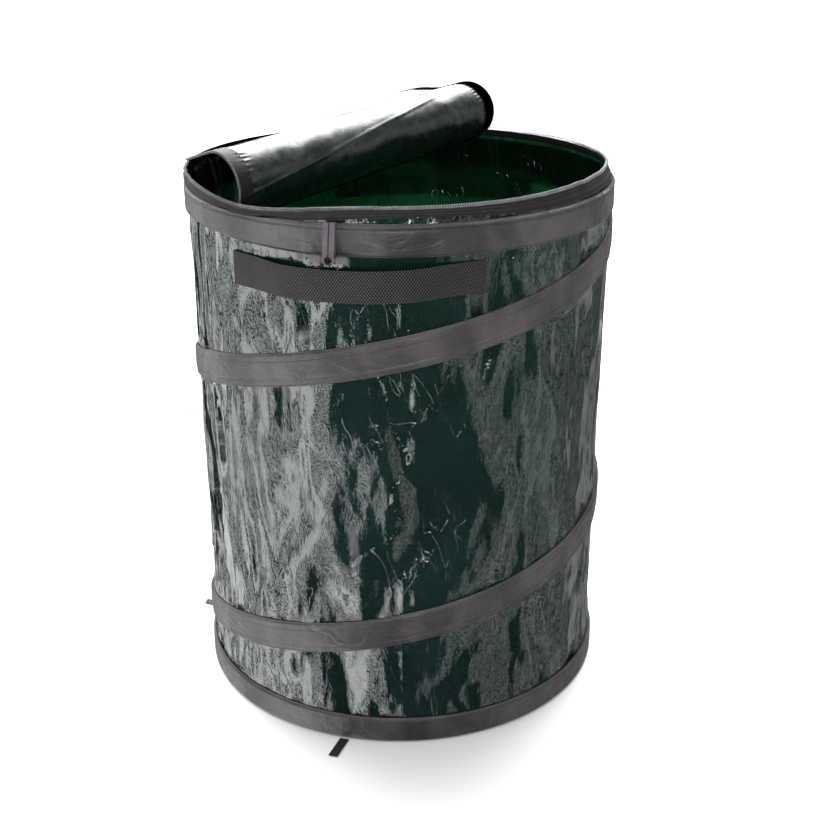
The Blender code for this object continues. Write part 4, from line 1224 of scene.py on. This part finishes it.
class CAN_OT_handles(Operator):
    """Webbing handles, sewn flat at both ends and bowed off the wall between them"""

    bl_idname = "can.handles"
    bl_label = "Handles"

    def execute(self, context):
        for side, centre in zip(("front", "rear"), STRAP_ANGLES):
            self.strap(side, centre)
        return {"FINISHED"}

    @staticmethod
    def strap(side, centre):
        """The radius is the wall's plus a bow that smooth steps raise between the sewn ends, plus
        a sag that is a sine across the width. The edges are rounded by an eighth power.
        """
        outer_radius = WALL_RADIUS + 0.0003 + STRAP_THICKNESS
        free = STRAP_HALF_ANGLE - STRAP_SEWN_ANGLE
        raised = 0.0042 if side == "front" else 0.0

        def surface(run, share):
            offset = np.degrees(run / WALL_RADIUS)
            bow = smooth((free - np.abs(offset)) / (free / 2))
            sag = 0.0012 * np.cos(np.radians(offset) * 2.2) * np.sin(math.pi * share)
            radius = outer_radius + (STRAP_BOW + sag) * bow - 0.0004 * (2 * share - 1) ** 8
            height = STRAP_TOP - STRAP_WIDTH * (1 - share) + raised * smooth(offset / STRAP_HALF_ANGLE)
            return on_can(radius, centre + offset, height)

        limit = math.radians(STRAP_HALF_ANGLE) * WALL_RADIUS
        run, share = np.meshgrid(np.linspace(-limit, limit, 160), np.linspace(0, 1, 17))
        uv = np.stack([run + 1.0, share * STRAP_WIDTH], -1)
        strap = show(shell(f"strap_{side}", surface, run, share, STRAP_THICKNESS, uv), "webbing_cloth")
        dress(
            strap, "webbing", "rim", (f"handle_{side}",),
            flat=(2 * limit + 0.006, STRAP_WIDTH), held="stretched", rests_on=["tarp_wall_upper"],
        )
        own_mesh(strap)


class CAN_OT_toggles(Operator):
    """Toggles: two ribbon strands from the rim seam to a knot round a turned bar"""

    bl_idname = "can.toggles"
    bl_label = "Toggles"

    def execute(self, context):
        for side, centre in FASTENERS:
            for strand in (1, 2):
                repaint(f"toggle_ribbon_{side}_{strand}", "ribbon_cloth")
            repaint(f"toggle_bar_{side}", "toggle_plastic")
            low, high = (np.array(corner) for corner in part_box(f"toggle_bar_{side}"))
            knot = show(self.knot(f"toggle_knot_{side}", (low + high) / 2, centre), "webbing_cloth")
            dress(knot, "webbing", f"toggle_{side}")
        return {"FINISHED"}

    @staticmethod
    def knot(name, middle, centre):
        """A trefoil cord just outside the bar: radius (2 + cos 3t) in the plane, sine 3t out of it."""
        out, side = outward(centre)
        t = np.linspace(0.0, TAU, 49)[:, None]
        radius = 0.00105 * (2 + np.cos(3 * t))
        path = middle + out * (0.0052 + 0.0007 * np.sin(3 * t))
        path = path + side * radius * np.cos(2 * t) + np.array([0.0, 0.0, 1.0]) * radius * np.sin(2 * t)
        return tube(name, path, KNOT_CORD_RADIUS, 7, out)


class CAN_OT_base_loops(Operator):
    """Webbing loops at the foot, folded double, which catch the toggles when the can is folded"""

    bl_idname = "can.base_loops"
    bl_label = "Base loops"

    def execute(self, context):
        for side, centre in FASTENERS:
            dress(
                show(self.loop(f"foot_loop_{side}", centre), "webbing_cloth"), "webbing", f"base_loop_{side}",
                (f"base_loop_{side}",), flat=(0.0105, 0.068), held="folded", rests_on=["base_band"],
            )
        return {"FINISHED"}

    @staticmethod
    def loop(name, centre):
        """A strip out and back. t runs from 0 at the lower end to pi at the upper one, the reach
        outwards is a sine of t, and the height rises with t and with one less the cosine of 2t.
        """
        out, side = outward(centre)

        def surface(across, along):
            t = along / LOOP_GIRTH
            reach = LOOP_ROOT_RADIUS + LOOP_REACH * np.sin(t)
            lean = -0.0018 - 0.0030 * np.sin(t)
            rise = 0.00045 + 0.0009 * t / math.pi + 0.0007 * (1 - np.cos(2 * t)) * np.clip(t / math.pi, 0, 1)
            flat = reach[..., None] * out + (across + lean)[..., None] * side
            return flat + rise[..., None] * np.array([0.0, 0.0, 1.0])

        width = np.linspace(-LOOP_HALF_WIDTH, LOOP_HALF_WIDTH, 9)
        across, along = np.meshgrid(width, np.linspace(0.0, LOOP_GIRTH * math.pi, 61))
        uv = np.stack([across + 1.0, along], axis=-1)
        return shell(name, surface, across, along, LOOP_THICKNESS, uv, reach=0.0002)


# The stage


# Tall light panels: start, soft start, end and soft end in degrees, top, strength
PANELS = (
    (60.0, 20.0, 112.0, 3.0, 0.30, 0.65),
    (124.0, 2.0, 146.0, 2.0, 0.30, 1.8),
    (158.0, 2.0, 173.0, 2.0, 0.30, 2.4),
    (184.0, 2.0, 214.0, 2.0, 0.45, 3.8),
    (222.0, 1.5, 232.0, 1.5, 0.30, 3.4),
    (320.0, 2.0, 330.0, 3.0, 0.30, 1.25),
    (340.0, 3.0, 356.0, 3.0, 0.35, 1.2),
    (368.0, 3.0, 382.0, 3.0, 0.30, 0.6),
    (394.0, 3.0, 425.0, 10.0, 0.30, 0.45),
)

# Round lights: azimuth, elevation, outer and inner edge in degrees, strength
ROUND_LIGHTS = ((95.0, 46.0, 44.0, 20.0, 9.0), (264.0, 15.0, 11.0, 7.0, 12.0))

CAMERA_PLACE = (-0.01034, -1.46236, 0.89573)
CAMERA_YAW, CAMERA_PITCH, CAMERA_ROLL = 0.01713, 0.38361, -0.00949


class CAN_OT_stage(Operator):
    """Pale floor, soft light from a tent of white cloth, and the camera"""

    bl_idname = "can.stage"
    bl_label = "Stage"

    def execute(self, context):
        self.floor()
        self.light()
        self.camera()
        return {"FINISHED"}

    @staticmethod
    def floor():
        material, tree, place, _, _ = new_finish("floor_paper")
        pale = bpy.context.scene.can_colours.floor
        tone = remap(tree, noise(tree, place, 3.0), 0.3, 0.7, 0.0, 1.0)
        base = blend_colours(tree, tone, pale, paler(pale, 0.98))
        paper = node(tree, "ShaderNodeBsdfPrincipled", {"Base Color": base, "Roughness": 0.9})
        close_finish(tree, paper.outputs[0])
        material["can_finish"] = True
        corners = 30.0 * np.array([(-1, -1, 0), (1, -1, 0), (1, 1, 0), (-1, 1, 0)], float)
        floor = show(make_mesh("studio_floor", corners, np.array([[0, 1, 2, 3]])), "floor_paper")
        floor.visible_glossy = False

    @staticmethod
    def light():
        """A world of tall light panels round the can, one round light over it behind and a small
        one in front, and dark between them. Each panel spans two azimuths, with a soft edge at
        each, and reaches from well below the horizon, where the floor would show it, to its top.
        """
        world = bpy.data.worlds.new("light_tent")
        bpy.context.scene.world = world
        world.use_nodes = True
        tree = world.node_tree
        tree.nodes.clear()
        direction = node(tree, "ShaderNodeTexCoord").outputs["Generated"]
        east, north, height = node(tree, "ShaderNodeSeparateXYZ", {0: direction}).outputs
        azimuth = calc(tree, "ARCTAN2", north, east)
        parts = [remap(tree, height, -0.05, 0.10, 0.015, 0.16), remap(tree, height, 0.45, 0.80, 0.0, 1.1)]
        for start, soft_start, end, soft_end, top, strength in PANELS:
            turn = calc(tree, "WRAP", calc(tree, "SUBTRACT", azimuth, math.radians(start)), TAU, 0.0)
            width = math.radians(end - start)
            inside = remap(tree, turn, 0.0, math.radians(soft_start), 0.0, strength)
            ends = ((turn, width - math.radians(soft_end), width), (height, top - 0.08, top))
            for value, low, high in ends:
                inside = calc(tree, "MULTIPLY", inside, remap(tree, value, low, high, 1.0, 0.0))
            parts.append(inside)
        for angle, rise, outer, inner, strength in ROUND_LIGHTS:
            axis = around(math.cos(math.radians(rise)), angle, math.sin(math.radians(rise)))
            near_it = vectors(tree, "DOT_PRODUCT", direction, tuple(axis), "Value")
            low, high = (math.cos(math.radians(edge)) for edge in (outer, inner))
            parts.append(remap(tree, near_it, low, high, 0.0, strength))
        total = parts[0]
        for part in parts[1:]:
            total = calc(tree, "ADD", total, part)
        tent, plain = (
            node(tree, "ShaderNodeBackground", {"Color": (1.0, 1.0, 1.0, 1.0), "Strength": value}).outputs[0]
            for value in (total, 1.0)
        )
        seen = node(tree, "ShaderNodeLightPath").outputs["Is Camera Ray"]
        mixed = node(tree, "ShaderNodeMixShader", {0: seen, 1: tent, 2: plain}).outputs[0]
        close_finish(tree, mixed, "ShaderNodeOutputWorld")

    @staticmethod
    def camera():
        """The camera stands where the photograph was taken from, turned by yaw, pitch and roll."""
        yaw, pitch, roll = CAMERA_YAW, CAMERA_PITCH, CAMERA_ROLL
        ahead = np.array([math.sin(yaw) * math.cos(pitch), math.cos(yaw) * math.cos(pitch), -math.sin(pitch)])
        right = np.array([math.cos(yaw), -math.sin(yaw), 0.0])
        up = np.cross(right, ahead)
        data = bpy.data.cameras.new("photo_camera")
        data.lens = sizes().camera_lens
        data.sensor_width = 36.0
        camera = bpy.data.objects.new("photo_camera", data)
        bpy.context.scene.collection.objects.link(camera)
        turned = np.eye(4)
        turned[:3, 0] = right * math.cos(roll) + up * math.sin(roll)
        turned[:3, 1] = -right * math.sin(roll) + up * math.cos(roll)
        turned[:3, 2] = -ahead
        turned[:3, 3] = CAMERA_PLACE
        camera.matrix_world = Matrix(turned.tolist())
        bpy.context.scene.camera = camera
        bpy.context.scene.view_settings.view_transform = "Standard"


STEPS = (
    CAN_OT_stage, CAN_OT_spring, CAN_OT_zipper, CAN_OT_wall, CAN_OT_floor_panel, CAN_OT_casings,
    CAN_OT_slider, CAN_OT_lid, CAN_OT_handles, CAN_OT_toggles, CAN_OT_base_loops,
)


class CAN_PT_panel(Panel):
    """Sizes, colours and pieces of the trash can"""

    bl_label = "Pop-up trash can"
    bl_idname = "CAN_PT_panel"
    bl_space_type = "VIEW_3D"
    bl_region_type = "UI"
    bl_category = "Trash Can"

    def draw(self, context):
        for group in (context.scene.can_sizes, context.scene.can_colours):
            box = self.layout.box()
            for name in group.__annotations__:
                box.prop(group, name)
        column = self.layout.column()
        for step in STEPS:
            column.operator(step.bl_idname)


CLASSES = (CanSizes, CanColours, CAN_PT_panel, *STEPS)


def register():
    for cls in CLASSES:
        bpy.utils.register_class(cls)
    bpy.types.Scene.can_sizes = PointerProperty(type=CanSizes)
    bpy.types.Scene.can_colours = PointerProperty(type=CanColours)


def unregister():
    del bpy.types.Scene.can_colours
    del bpy.types.Scene.can_sizes
    for cls in reversed(CLASSES):
        bpy.utils.unregister_class(cls)


def main():
    """Registers the add-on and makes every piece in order."""
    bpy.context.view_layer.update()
    register()
    for step in STEPS:
        group, name = step.bl_idname.split(".")
        getattr(getattr(bpy.ops, group), name)()
    bpy.context.view_layer.update()


if __name__ == "__main__":
    main()
